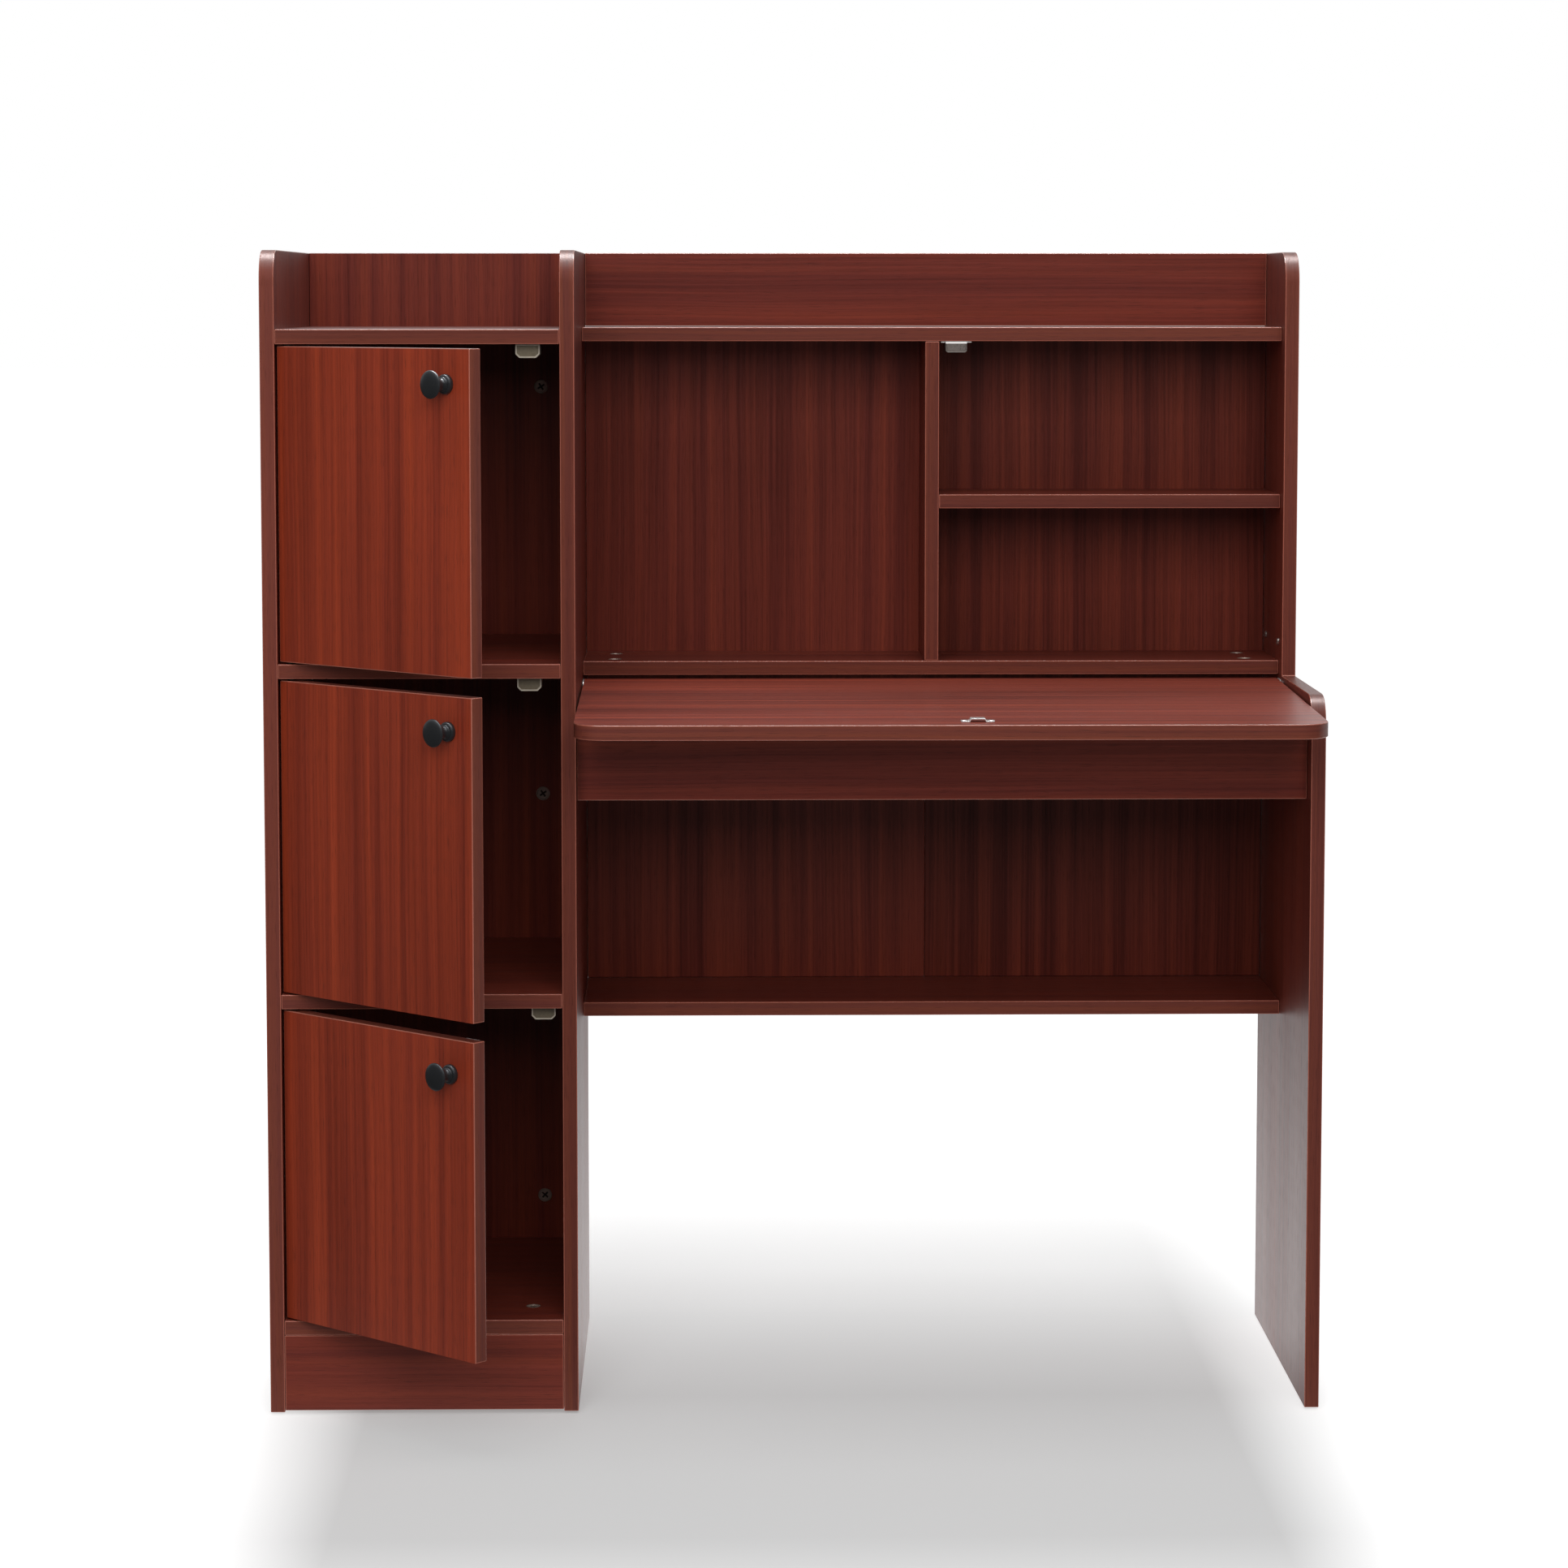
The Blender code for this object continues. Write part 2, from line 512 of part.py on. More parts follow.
def build_door_pins(level, desk, shelf_below, shelf_above, floor):
    """Collared pins in the shelves under and over a door."""
    collar_top = DOOR_GAP - CONTACT_GAP * 2
    tip = DOOR_GAP + DOOR_PIN_REACH
    profile = [(0.0, tip), (DOOR_PIN_RADIUS, tip), (DOOR_PIN_RADIUS, collar_top),
               (DOOR_PIN_COLLAR_RADIUS, collar_top), (DOOR_PIN_COLLAR_RADIUS, CONTACT_GAP),
               (DOOR_PIN_RADIUS, CONTACT_GAP), (DOOR_PIN_RADIUS, -DOOR_PIN_DEPTH),
               (0.0, -DOOR_PIN_DEPTH)]
    ends = {
        "bottom": (shelf_below, floor, -1, 0.0),
        "top": (shelf_above, floor + COMPARTMENT, 1, math.pi),
    }
    for end, (shelf, z, direction, turn) in ends.items():
        mouth = (DOOR_PIVOT_X, BOARD / 2, z)
        bore(shelf, [mouth], DOOR_PIN_RADIUS + CONTACT_GAP, DOOR_PIN_DEPTH + CONTACT_GAP,
             "Z", direction, f"door_pin_{level}_{end}_bore")
        turned(f"door_pin_{level}_{end}", profile, "bright_steel", desk, mouth, (turn, 0.0, 0.0))


def build_knob(level, pivot, door):
    """A turned knob on the outer face, held by a screw from the inner face."""
    x = DOOR_FREE_EDGE - KNOB_EDGE_DISTANCE
    z = DOOR_HEIGHT - KNOB_TOP_DISTANCE
    hole = KNOB_SCREW_RADIUS + CONTACT_GAP
    cut(door, rods([(x, 0.0, z)], hole, 2 * BOARD, "Y"), f"knob_{level}_hole")

    socket = KNOB_SCREW_BITE + CONTACT_GAP
    outside = [(0.0, 1.0), KNOB_DOME, KNOB_SHOULDER, (1.0, KNOB_RIM[1]), (1.0, KNOB_RIM[0]),
               KNOB_UNDERCUT]
    profile = [(KNOB_CAP_RADIUS * across, KNOB_LENGTH * along) for across, along in outside]
    profile += [(KNOB_NECK_RADIUS, KNOB_LENGTH * KNOB_NECK[1]),
                (KNOB_NECK_RADIUS, KNOB_LENGTH * KNOB_NECK[0]),
                (KNOB_BASE_RADIUS, KNOB_LENGTH * KNOB_BASE_END), (KNOB_BASE_RADIUS, CONTACT_GAP),
                (hole, CONTACT_GAP), (hole, socket), (0.0, socket)]
    turned("knob_" + level, profile, "black_enamel", pivot, (x, -BOARD / 2, z),
           (math.pi / 2, 0.0, 0.0), ROUND_SEGMENTS)

    head_radius, head_height = KNOB_SCREW_HEAD
    head = -BOARD - CONTACT_GAP
    screw = [(0.0, KNOB_SCREW_BITE), (KNOB_SCREW_RADIUS, KNOB_SCREW_BITE),
             (KNOB_SCREW_RADIUS, head), (head_radius, head),
             (head_radius, head - head_height * KNOB_SCREW_BEVEL),
             (head_radius * KNOB_SCREW_BEVEL, head - head_height), (0.0, head - head_height)]
    turned("knob_screw_" + level, screw, "bright_steel", pivot, (x, -BOARD / 2, z),
           (math.pi / 2, 0.0, 0.0))


# ---------------------------------------------------------------- fold-down desktop
def build_leaf(desk, uprights):
    """The desktop leaf with its pivots and strike plate."""
    pivot = empty("leaf_pivot", (BAY_CENTRE, LEAF_PIVOT_Y, LEAF_PIVOT_Z), desk, (DROOP, 0.0, 0.0))
    half = LEAF_WIDTH / 2
    inner = half - LEAF_CORNER
    front = -LEAF_REACH + LEAF_CORNER
    outline = [(half, LEAF_TAIL), (-half, LEAF_TAIL)]
    outline += arc((-inner, front), LEAF_CORNER, 180, 270)
    outline += arc((inner, front), LEAF_CORNER, 270, 360)
    leaf = add("desktop_leaf", prism(outline, "XY", -BOARD / 2, BOARD / 2), "desktop_laminate", pivot)

    for side, direction in (("left", -1), ("right", 1)):
        bore(leaf, [(direction * half, 0.0, 0.0)], LEAF_PIN_RADIUS + CONTACT_GAP,
             LEAF_PIN_REACH, "X", -direction, f"leaf_pivot_{side}_bore")
        build_leaf_pivot(side, direction, desk, uprights)

    width, depth, thickness = LEAF_STRIKE_SIZE
    pad_width, pad_height = LEAF_STRIKE_PAD
    outline = [(-width / 2, 0.0), (width / 2, 0.0), (width / 2, thickness),
               (pad_width / 2 + thickness, thickness), (pad_width / 2, pad_height),
               (-pad_width / 2, pad_height), (-pad_width / 2 - thickness, thickness),
               (-width / 2, thickness)]
    catch_middle = TOP_SHELF_Z - CONTACT_GAP - LEAF_CATCH_SIZE[2] / 2
    reach = catch_middle - LEAF_PIVOT_Z
    add("leaf_strike", prism(outline, "XZ", -reach - depth / 2, -reach + depth / 2),
        "bright_steel", pivot,
        (leaf_catch_centre() - BAY_CENTRE, 0.0, BOARD / 2 + CONTACT_GAP))


def build_leaf_pivot(side, direction, desk, uprights):
    """A plate against the upright, with a pin into the upright and one into the leaf's edge."""
    face = RIGHT_INNER if direction > 0 else MIDDLE_RIGHT
    host = uprights["right" if direction > 0 else "middle"]
    mouth = (face, LEAF_PIVOT_Y, LEAF_PIVOT_Z)
    bore(host, [mouth], LEAF_PIN_RADIUS + CONTACT_GAP, LEAF_PIN_DEPTH + CONTACT_GAP,
         "X", direction, f"leaf_pivot_{side}_socket")

    length, width, thickness = LEAF_PLATE
    inner = -CONTACT_GAP * direction
    outer = inner - thickness * direction
    round_end = width / 2
    straight = length / 2 - round_end
    outline = arc((straight, 0.0), round_end, -90, 90) + arc((-straight, 0.0), round_end, 90, 270)
    plate = add(f"leaf_pivot_{side}", prism(outline, "YZ", inner, outer), "bright_steel", desk, mouth)

    leaf_end = -(LEAF_SIDE_GAP + LEAF_PIN_REACH - 2 * CONTACT_GAP) * direction
    socket_end = LEAF_PIN_DEPTH * direction
    centre = Vector(mouth) + UNIT["X"] * (leaf_end + socket_end) / 2
    pin = add(f"leaf_pivot_{side}_pin", rods([centre], LEAF_PIN_RADIUS, abs(leaf_end - socket_end), "X"),
              None, desk)
    pin.hide_render = True
    pin.display_type = "WIRE"
    union = plate.modifiers.new("pin", "BOOLEAN")
    union.operation = "UNION"
    union.solver = "EXACT"
    union.object = pin


def build_desk():
    """The whole desk, from the carcass to the last screw."""
    clear_scene()
    origin = (-(MIDDLE_LEFT + BOARD / 2), -GLIDE_SETBACK, GLIDE_HEIGHT)
    desk = empty("desk_origin", origin)
    uprights = build_uprights(desk)
    tower = build_tower(desk)
    hutch_bottom = build_hutch(desk)
    build_glides(desk)
    build_cam_locks(desk, tower, hutch_bottom)
    build_upright_screws(desk, uprights["right"])
    build_catches(desk)
    shelves = [tower[name] for name in ("tower_floor_board", "tower_shelf_lower",
                                        "tower_shelf_upper", "tower_top_shelf")]
    for level, below, above in zip(("lower", "middle", "upper"), shelves, shelves[1:]):
        build_door(level, desk, below, above)
    build_leaf(desk, uprights)


build_desk()
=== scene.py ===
"""Secretary desk: laminated boards, knobs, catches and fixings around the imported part."""

import math
import random

import bmesh
import bpy
from bpy.props import FloatProperty, FloatVectorProperty, IntProperty, PointerProperty
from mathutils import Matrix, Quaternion, Vector


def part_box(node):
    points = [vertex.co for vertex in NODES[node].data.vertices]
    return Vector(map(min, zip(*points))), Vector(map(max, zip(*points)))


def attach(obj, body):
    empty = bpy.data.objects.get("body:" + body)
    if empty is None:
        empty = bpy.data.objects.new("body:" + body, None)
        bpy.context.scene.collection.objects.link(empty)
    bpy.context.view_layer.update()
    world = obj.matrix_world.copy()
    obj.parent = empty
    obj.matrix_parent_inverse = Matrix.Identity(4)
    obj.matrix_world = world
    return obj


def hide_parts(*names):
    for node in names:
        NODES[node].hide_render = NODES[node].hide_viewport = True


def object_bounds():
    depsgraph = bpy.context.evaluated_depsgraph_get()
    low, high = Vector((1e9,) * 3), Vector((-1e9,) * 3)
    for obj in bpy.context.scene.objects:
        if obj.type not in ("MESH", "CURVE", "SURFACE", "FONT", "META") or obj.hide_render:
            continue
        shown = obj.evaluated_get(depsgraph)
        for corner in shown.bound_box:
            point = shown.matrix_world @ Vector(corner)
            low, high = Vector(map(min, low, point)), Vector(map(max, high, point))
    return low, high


bl_info = {
    "name": "Secretary desk",
    "version": (1, 0, 0),
    "blender": (4, 5, 0),
    "location": "3D View > Sidebar > Desk",
    "description": "Finishes every board, door and fitting of a secretary desk",
    "category": "Object",
}

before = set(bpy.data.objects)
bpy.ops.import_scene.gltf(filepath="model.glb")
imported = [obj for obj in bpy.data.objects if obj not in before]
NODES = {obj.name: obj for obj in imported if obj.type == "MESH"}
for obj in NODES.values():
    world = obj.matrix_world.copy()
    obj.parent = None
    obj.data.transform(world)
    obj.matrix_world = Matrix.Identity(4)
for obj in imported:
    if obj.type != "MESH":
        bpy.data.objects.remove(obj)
CAD_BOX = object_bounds()

LEVELS = ("upper", "middle", "lower")
AXES = {"X": Vector((1, 0, 0)), "Y": Vector((0, 1, 0)), "Z": Vector((0, 0, 1))}
FACE, BAND, ARRIS, CORE = range(4)      # material slots of a board

# The way the grain runs on each board of the carcass.
GRAIN = dict.fromkeys((
    "left_upright", "middle_upright", "right_upright", "tower_back_board", "hutch_divider",
    "hutch_back_left", "hutch_back_right"), "Z")
GRAIN |= dict.fromkeys((
    "tower_top_shelf", "tower_shelf_upper", "tower_shelf_lower", "tower_floor_board",
    "tower_kick_board", "hutch_top_shelf", "hutch_gallery_board", "hutch_middle_shelf",
    "hutch_bottom_board", "lower_shelf", "apron"), "X")

# How light each board is, from 0 to 1; boards that aren't named here vary about the middle.
# The low tones of the two hutch backs and of the hutch's bottom board are painted shade, since those
# boards sit in shade.
BOARD_TONES_AND_PAINTED_SHADE = {
    "left_upright": 0.64, "middle_upright": 0.42, "right_upright": 0.46, "hutch_back_left": 0.3,
    "hutch_back_right": 0.12, "hutch_bottom_board": 0.25, "hutch_middle_shelf": 0.34,
    "hutch_divider": 0.36, "tower_top_shelf": 0.38, "hutch_top_shelf": 0.42}


def box_size(node):
    """Width, depth and height of a node's box."""
    low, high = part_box(node)
    return high - low


# Settings
def colour(name, description, default):
    """A setting for a colour."""
    return FloatVectorProperty(
        name=name, description=description, default=(*default, 1.0), subtype="COLOR", size=4,
        min=0.0, max=1.0)


def length(name, description, default, low, high):
    """A setting for a length between two limits."""
    return FloatProperty(
        name=name, description=description, default=default, min=low, max=high, unit="LENGTH")


def power(name, description, default):
    """A setting for a light's power."""
    return FloatProperty(name=name, description=description, default=default, unit="POWER")


class DESK_PG_boards(bpy.types.PropertyGroup):
    """Finish of the boards."""

    arris: length("Arris", "Width of the eased edge of every board", 0.0009, 0.0002, 0.003)
    arris_steps: IntProperty(
        name="Arris steps", description="Facets across an eased edge", default=3, min=1, max=6)
    door_colour: colour("Door laminate", "Middle tone of the doors", (0.228, 0.031, 0.0128))
    carcass_colour: colour("Carcass laminate", "Middle tone of the carcass", (0.146, 0.0255, 0.016))
    desktop_colour: colour("Desktop laminate", "Middle tone of the desktop", (0.255, 0.046, 0.028))
    band_colour: colour("Edge band", "Middle tone of the edge bands", (0.14, 0.034, 0.022))
    # The arris colour is paler than the band partly for the trimmed band and partly as a painted
    # highlight of the light along the rounded edge.
    arris_trim_and_highlight_colour: colour("Arris colour", "Tone of the trimmed edge of the bands", (0.33, 0.105, 0.072))
    band_width: length("Figure width", "Usual width of a broad stripe of the figure", 0.017, 0.004, 0.1)
    streak_width: length(
        "Streak width", "Usual width of a fine streak of the figure", 0.003, 0.0005, 0.02)


class DESK_PG_fittings(bpy.types.PropertyGroup):
    """Sizes and colours of the metal and plastic parts."""

    knob_radius: length(
        "Knob radius", "Radius of a knob's cap", box_size("knob_upper").z / 2, 0.005, 0.03)
    knob_colour: colour("Knob enamel", "Colour of the knobs", (0.062, 0.065, 0.07))
    cam_radius: length("Cam lock radius", "Radius of a cam lock's face",
                       box_size("cam_lock_floor").x / 2, 0.003, 0.015)
    cam_turn: FloatProperty(
        name="Cam lock turn", description="How far the cam locks are turned shut",
        default=math.radians(40), subtype="ANGLE")
    screw_head: length(
        "Screw head radius", "Radius of the small screws that hold the fittings", 0.0024, 0.001, 0.005)
    glide_radius: length(
        "Glide radius", "Radius of a foot glide", box_size("foot_glide_left_front").x / 2, 0.003, 0.02)
    steel_colour: colour("Plated steel", "Colour of the plated fittings", (0.78, 0.775, 0.765))
    catch_colour: colour("Catch plastic", "Colour of the catches' bodies", (0.43, 0.38, 0.31))


class DESK_PG_stage(bpy.types.PropertyGroup):
    """Floor, light and camera."""

    camera_place: FloatVectorProperty(
        name="Camera place", description="Where the camera stands", subtype="TRANSLATION",
        default=(0.1434, -4.2324, 1.1602))
    camera_pitch: FloatProperty(
        name="Camera pitch", description="How far the camera looks down",
        default=math.radians(4.956), subtype="ANGLE")
    camera_yaw: FloatProperty(
        name="Camera yaw", description="How far the camera turns to the right",
        default=math.radians(1.05), subtype="ANGLE")
    camera_lens: FloatProperty(
        name="Lens", description="Focal length on a 36 mm sensor in millimetres", default=94.96)
    camera_rise: FloatProperty(name="Lens shift", description="Upright shift of the lens", default=-0.085)
    front_power: power("Front light", "Power of the wide light behind the camera", 150.0)
    side_power: power("Side light", "Power of the light at the front left", 17.0)
    top_power: power("Top light", "Power of the light over the desk", 34.0)
    back_power: power("Back light", "Power of the light behind the desk", 30.0)
    rim_power: power("Rim light", "Power of the light that only glints on edges", 170.0)
    room_light: FloatProperty(
        name="Room light", description="Strength of the even light of the room", default=0.05)
    room_front: FloatProperty(
        name="Front of the room", description="How bright the room mirrors from the front",
        default=0.035)
    # The floor's glow under the desk is dimmed to this tone: a painted shadow of the desk, which ends
    # where the floor turns white behind and before the desk.
    painted_floor_shadow: FloatProperty(
        name="Floor tone", description="How pale the floor is under the desk", default=0.3,
        min=0.0, max=1.0)
    floor_bounce: FloatProperty(
        name="Floor bounce", description="Light that the floor throws back", default=0.5,
        min=0.0, max=1.0)
    floor_back: FloatProperty(
        name="Floor back", description="Where the floor turns white behind the desk",
        default=1.1, unit="LENGTH")
    floor_front: FloatProperty(
        name="Floor front", description="Where the floor turns white before the desk",
        default=-1.3, unit="LENGTH")


# Node helpers
def feed(tree, node, values):
    """Give a node's inputs their sockets or plain values."""
    for key, value in values.items():
        if isinstance(value, bpy.types.NodeSocket):
            tree.links.new(value, node.inputs[key])
        else:
            node.inputs[key].default_value = value


def lay(tree, kind, feeds=None, **settings):
    """Add a node; set its properties, then feed its inputs."""
    node = tree.nodes.new(kind)
    for key, value in settings.items():
        setattr(node, key, value)
    feed(tree, node, feeds or {})
    return node


def group(name, kind, inputs, outputs):
    """A new node group with named sockets; returns the tree, its input sockets and its output node."""
    tree = bpy.data.node_groups.new(name, kind)
    for direction, sockets in (("INPUT", inputs), ("OUTPUT", outputs)):
        for label, socket_type, default in sockets:
            made = tree.interface.new_socket(
                label, in_out=direction, socket_type="NodeSocket" + socket_type)
            if default is not None:
                made.default_value = default
    entry = tree.nodes.new("NodeGroupInput")
    leave = tree.nodes.new("NodeGroupOutput")
    return tree, entry.outputs, leave


def calculate(tree, operation, *values):
    """One step of arithmetic."""
    return lay(tree, "ShaderNodeMath", dict(enumerate(values)), operation=operation).outputs[0]


def about_middle(tree, value, gain, base):
    """A value's swing about one half, scaled and laid on a base."""
    return calculate(tree, "MULTIPLY_ADD", calculate(tree, "SUBTRACT", value, 0.5), gain, base)


def stretched_noise(tree, along, across, along_scale, across_scale, detail, shift=0.0):
    """Noise in the plane of a board, stretched along the grain."""
    along = calculate(tree, "MULTIPLY_ADD", along, along_scale, shift)
    across = calculate(tree, "MULTIPLY", across, across_scale)
    place = lay(tree, "ShaderNodeCombineXYZ", {"X": along, "Y": across})
    return lay(tree, "ShaderNodeTexNoise",
               {"Vector": place.outputs[0], "Scale": 1.0, "Detail": detail, "Roughness": 0.55},
               noise_dimensions="2D").outputs[0]


def ramp_value(tree, value, low, high, to_low=0.0, to_high=1.0):
    """A value taken from one range to another and held at its ends."""
    feeds = {"Value": value, "From Min": low, "From Max": high, "To Min": to_low, "To Max": to_high}
    return lay(tree, "ShaderNodeMapRange", feeds).outputs[0]


def blend_colours(tree, share, first, second, blend_type="MIX"):
    """Two colours mixed by a share."""
    return lay(tree, "ShaderNodeMix", {0: share, 6: first, 7: second}, data_type="RGBA",
               blend_type=blend_type).outputs[2]


# Shared surface effects
SURFACE_OUTPUTS = [("Color", "Color", None), ("Roughness", "Float", None), ("Height", "Float", None)]


def grain_group():
    """Printed mahogany figure: broad stripes, fine streaks and short pores along the board."""
    inputs = [("Place", "Vector", None), ("Middle", "Color", (0.15, 0.03, 0.02, 1.0)),
              ("Stripes per metre", "Float", 60.0), ("Streaks per metre", "Float", 330.0),
              ("Contrast", "Float", 1.0), ("Wander", "Float", 0.01), ("Tone", "Float", 0.5)]
    tree, given, leave = group("mahogany figure", "ShaderNodeTree", inputs, SURFACE_OUTPUTS)
    parts = lay(tree, "ShaderNodeSeparateXYZ", {"Vector": given["Place"]}).outputs
    along, straight = parts[0], parts[1]

    drift = stretched_noise(tree, along, straight, 1.7, 7.0, 2.0)
    across = about_middle(tree, drift, given["Wander"], straight)

    stripes = stretched_noise(tree, along, across, 0.7, given["Stripes per metre"], 1.5, 3.0)
    streaks = stretched_noise(tree, along, across, 2.4, given["Streaks per metre"], 3.0, 11.0)
    threads = stretched_noise(tree, along, across, 8.0, 1500.0, 2.0, 23.0)
    clouds = stretched_noise(tree, along, across, 1.3, 5.0, 2.0, 37.0)
    pores = stretched_noise(tree, along, across, 42.0, 1300.0, 1.0, 51.0)

    figure = 0.5
    for layer, weight in ((stripes, 1.25), (streaks, 0.95), (threads, 0.45), (clouds, 0.55)):
        figure = about_middle(tree, layer, weight, figure)
    figure = calculate(tree, "SUBTRACT", figure, 0.5)
    figure = calculate(tree, "MULTIPLY", figure, given["Contrast"])
    # The board's tone, which on the hutch backs and the hutch's bottom board is painted shade.
    tone = about_middle(tree, given["Tone"], 0.9, 1.0)
    gain = calculate(tree, "MULTIPLY_ADD", figure, 1.15, tone)
    gain = ramp_value(tree, gain, 0.45, 1.65, 0.45, 1.65)
    shaded = lay(tree, "ShaderNodeVectorMath", {0: given["Middle"], "Scale": gain},
                 operation="SCALE").outputs[0]

    warmth = ramp_value(tree, stripes, 0.3, 0.72)
    tinted = blend_colours(tree, 1.0, shaded, blend_colours(
        tree, warmth, (0.98, 0.98, 1.1, 1.0), (1.02, 1.03, 0.9, 1.0)), "MULTIPLY")
    pore_mask = ramp_value(tree, pores, 0.62, 0.74)
    dark_pores = calculate(tree, "MULTIPLY", pore_mask, 0.3)
    finished = blend_colours(tree, dark_pores, tinted, (0.02, 0.006, 0.005, 1.0))

    rough = 0.26
    for layer in (streaks, clouds, pore_mask):
        rough = calculate(tree, "MULTIPLY_ADD", layer, 0.1, rough)
    height = calculate(tree, "MULTIPLY_ADD", pore_mask, -0.6, threads)
    feed(tree, leave, {"Color": finished, "Roughness": rough, "Height": height})
    return tree


def wear_group():
    """Small changes of tone and gloss from handling and dust, on every plain finish."""
    inputs = [
        ("Place", "Vector", None), ("Color", "Color", (0.5, 0.5, 0.5, 1.0)), ("Roughness", "Float",
        0.4), ("Patches per metre", "Float", 40.0), ("Amount", "Float", 0.2)]
    tree, given, leave = group("handling wear", "ShaderNodeTree", inputs, SURFACE_OUTPUTS)
    patches = lay(tree, "ShaderNodeTexNoise", {
        "Vector": given["Place"], "Scale": given["Patches per metre"], "Detail": 4.0}).outputs[0]
    grit = lay(tree, "ShaderNodeTexNoise", {
        "Vector": given["Place"], "Scale": 2600.0, "Detail": 2.0}).outputs[0]
    uneven = calculate(tree, "SUBTRACT", patches, 0.5)
    gain = calculate(tree, "MULTIPLY_ADD", uneven, given["Amount"], 1.0)
    gain = about_middle(tree, grit, 0.12, gain)
    shaded = lay(tree, "ShaderNodeVectorMath", {0: given["Color"], "Scale": gain},
                 operation="SCALE").outputs[0]
    rough = calculate(tree, "MULTIPLY_ADD", uneven, given["Amount"], given["Roughness"])
    feed(tree, leave, {"Color": shaded, "Roughness": rough, "Height": grit})
    return tree


def shared_group(name, maker):
    """A node group made once and then shared."""
    return bpy.data.node_groups.get(name) or maker()


def surface(name):
    """An empty material; returns it with its tree and its Principled shader."""
    made = bpy.data.materials.new(name)
    made.use_nodes = True
    return made, made.node_tree, made.node_tree.nodes["Principled BSDF"]


def emboss(tree, shader, height, distance, strength=1.0):
    """Relief of the finish."""
    bump = lay(tree, "ShaderNodeBump", {"Height": height, "Distance": distance, "Strength": strength})
    tree.links.new(bump.outputs[0], shader.inputs["Normal"])


def laminate(name, middle, contrast=0.62, stripes=None, gloss=0.0):
    """Printed laminate whose figure follows the board's own grain map."""
    if name in bpy.data.materials:
        return bpy.data.materials[name]
    boards = bpy.context.scene.desk_boards
    made, tree, shader = surface(name)
    figure = lay(tree, "ShaderNodeGroup", {
        "Place": lay(tree, "ShaderNodeUVMap", uv_map="grain").outputs[0],
        "Tone": lay(tree, "ShaderNodeAttribute", attribute_name="tone").outputs["Fac"],
        "Middle": middle, "Contrast": contrast,
        "Stripes per metre": 1.0 / (stripes or boards.band_width),
        "Streaks per metre": 1.0 / boards.streak_width},
        node_tree=shared_group("mahogany figure", grain_group)).outputs
    rough = calculate(tree, "ADD", figure["Roughness"], -gloss)
    feed(tree, shader, {"Base Color": figure["Color"], "Roughness": rough, "Specular IOR Level": 0.28})
    emboss(tree, shader, figure["Height"], 0.00006)
    return made


def plain_finish(name, colour, roughness, metallic=0.0, patches=40.0, amount=0.2, relief=0.00002):
    """A plain metal, plastic or cut-board finish with handling wear."""
    if name in bpy.data.materials:
        return bpy.data.materials[name]
    made, tree, shader = surface(name)
    place = lay(tree, "ShaderNodeTexCoord").outputs["Object"]
    wear = lay(tree, "ShaderNodeGroup", {
        "Place": place, "Color": colour, "Roughness": roughness, "Patches per metre": patches,
        "Amount": amount}, node_tree=shared_group("handling wear", wear_group)).outputs
    feed(tree, shader, {
        "Base Color": wear["Color"], "Roughness": wear["Roughness"], "Metallic": metallic})
    emboss(tree, shader, wear["Height"], relief)
    return made


def band_finish():
    """Edge band of the boards."""
    return laminate("edge band", bpy.context.scene.desk_boards.band_colour, 0.32, 0.006)


def arris_trim_and_highlight_finish():
    """Trimmed edge of the bands, paler than their face: partly the trimmed band's own colour, partly a
    painted highlight of the light along the rounded edge.
    """
    return plain_finish(
        "trimmed arris", bpy.context.scene.desk_boards.arris_trim_and_highlight_colour, 0.24, patches=25.0, amount=0.3)


def core_finish():
    """Cut particle board inside a bore."""
    return plain_finish(
        "particle board", (0.3, 0.2, 0.12, 1.0), 0.85, patches=900.0, amount=0.9, relief=0.0003)


def steel():
    """Bright plated steel."""
    return plain_finish("plated steel", bpy.context.scene.desk_fittings.steel_colour, 0.26, 0.45,
                        patches=160.0, amount=0.12)


def lip_painted_reflection():
    """Near-white plate of the desktop's catch: the plated lip's reflection of the front light, painted
    into its colour.
    """
    return plain_finish("bright zinc", (0.93, 0.925, 0.905, 1.0), 0.22, 0.0, patches=160.0, amount=0.06)


def screw_metal():
    """Nickel of the round-headed screws."""
    return plain_finish("screw nickel", (0.42, 0.38, 0.35, 1.0), 0.22, 0.85, patches=200.0, amount=0.15)


def dull_steel():
    """Blackened steel of the hinge pins."""
    return plain_finish(
        "blackened steel", (0.045, 0.04, 0.038, 1.0), 0.45, 0.8, patches=160.0, amount=0.2)


def cam_metal():
    """Zinc casting of the cam locks."""
    return plain_finish("cam lock zinc", (0.3, 0.225, 0.19, 1.0), 0.4, 0.4, patches=300.0, amount=0.3)


def recess_painted_shade():
    """Near-black bottom of a driver recess: painted shade inside the recess."""
    return plain_finish("driver recess", (0.03, 0.022, 0.018, 1.0), 0.6, 0.6, patches=300.0)


def knob_enamel():
    """Black satin enamel."""
    return plain_finish("black enamel", bpy.context.scene.desk_fittings.knob_colour, 0.3, 0.75,
                        patches=90.0, amount=0.08)


def catch_plastic():
    """Moulded plastic of the catches."""
    return plain_finish("catch plastic", bpy.context.scene.desk_fittings.catch_colour, 0.42,
                        patches=120.0, amount=0.15, relief=0.00003)


def glide_plastic():
    """Pale nylon of the foot glides."""
    return plain_finish("pale nylon", (0.66, 0.62, 0.55, 1.0), 0.5, patches=200.0)

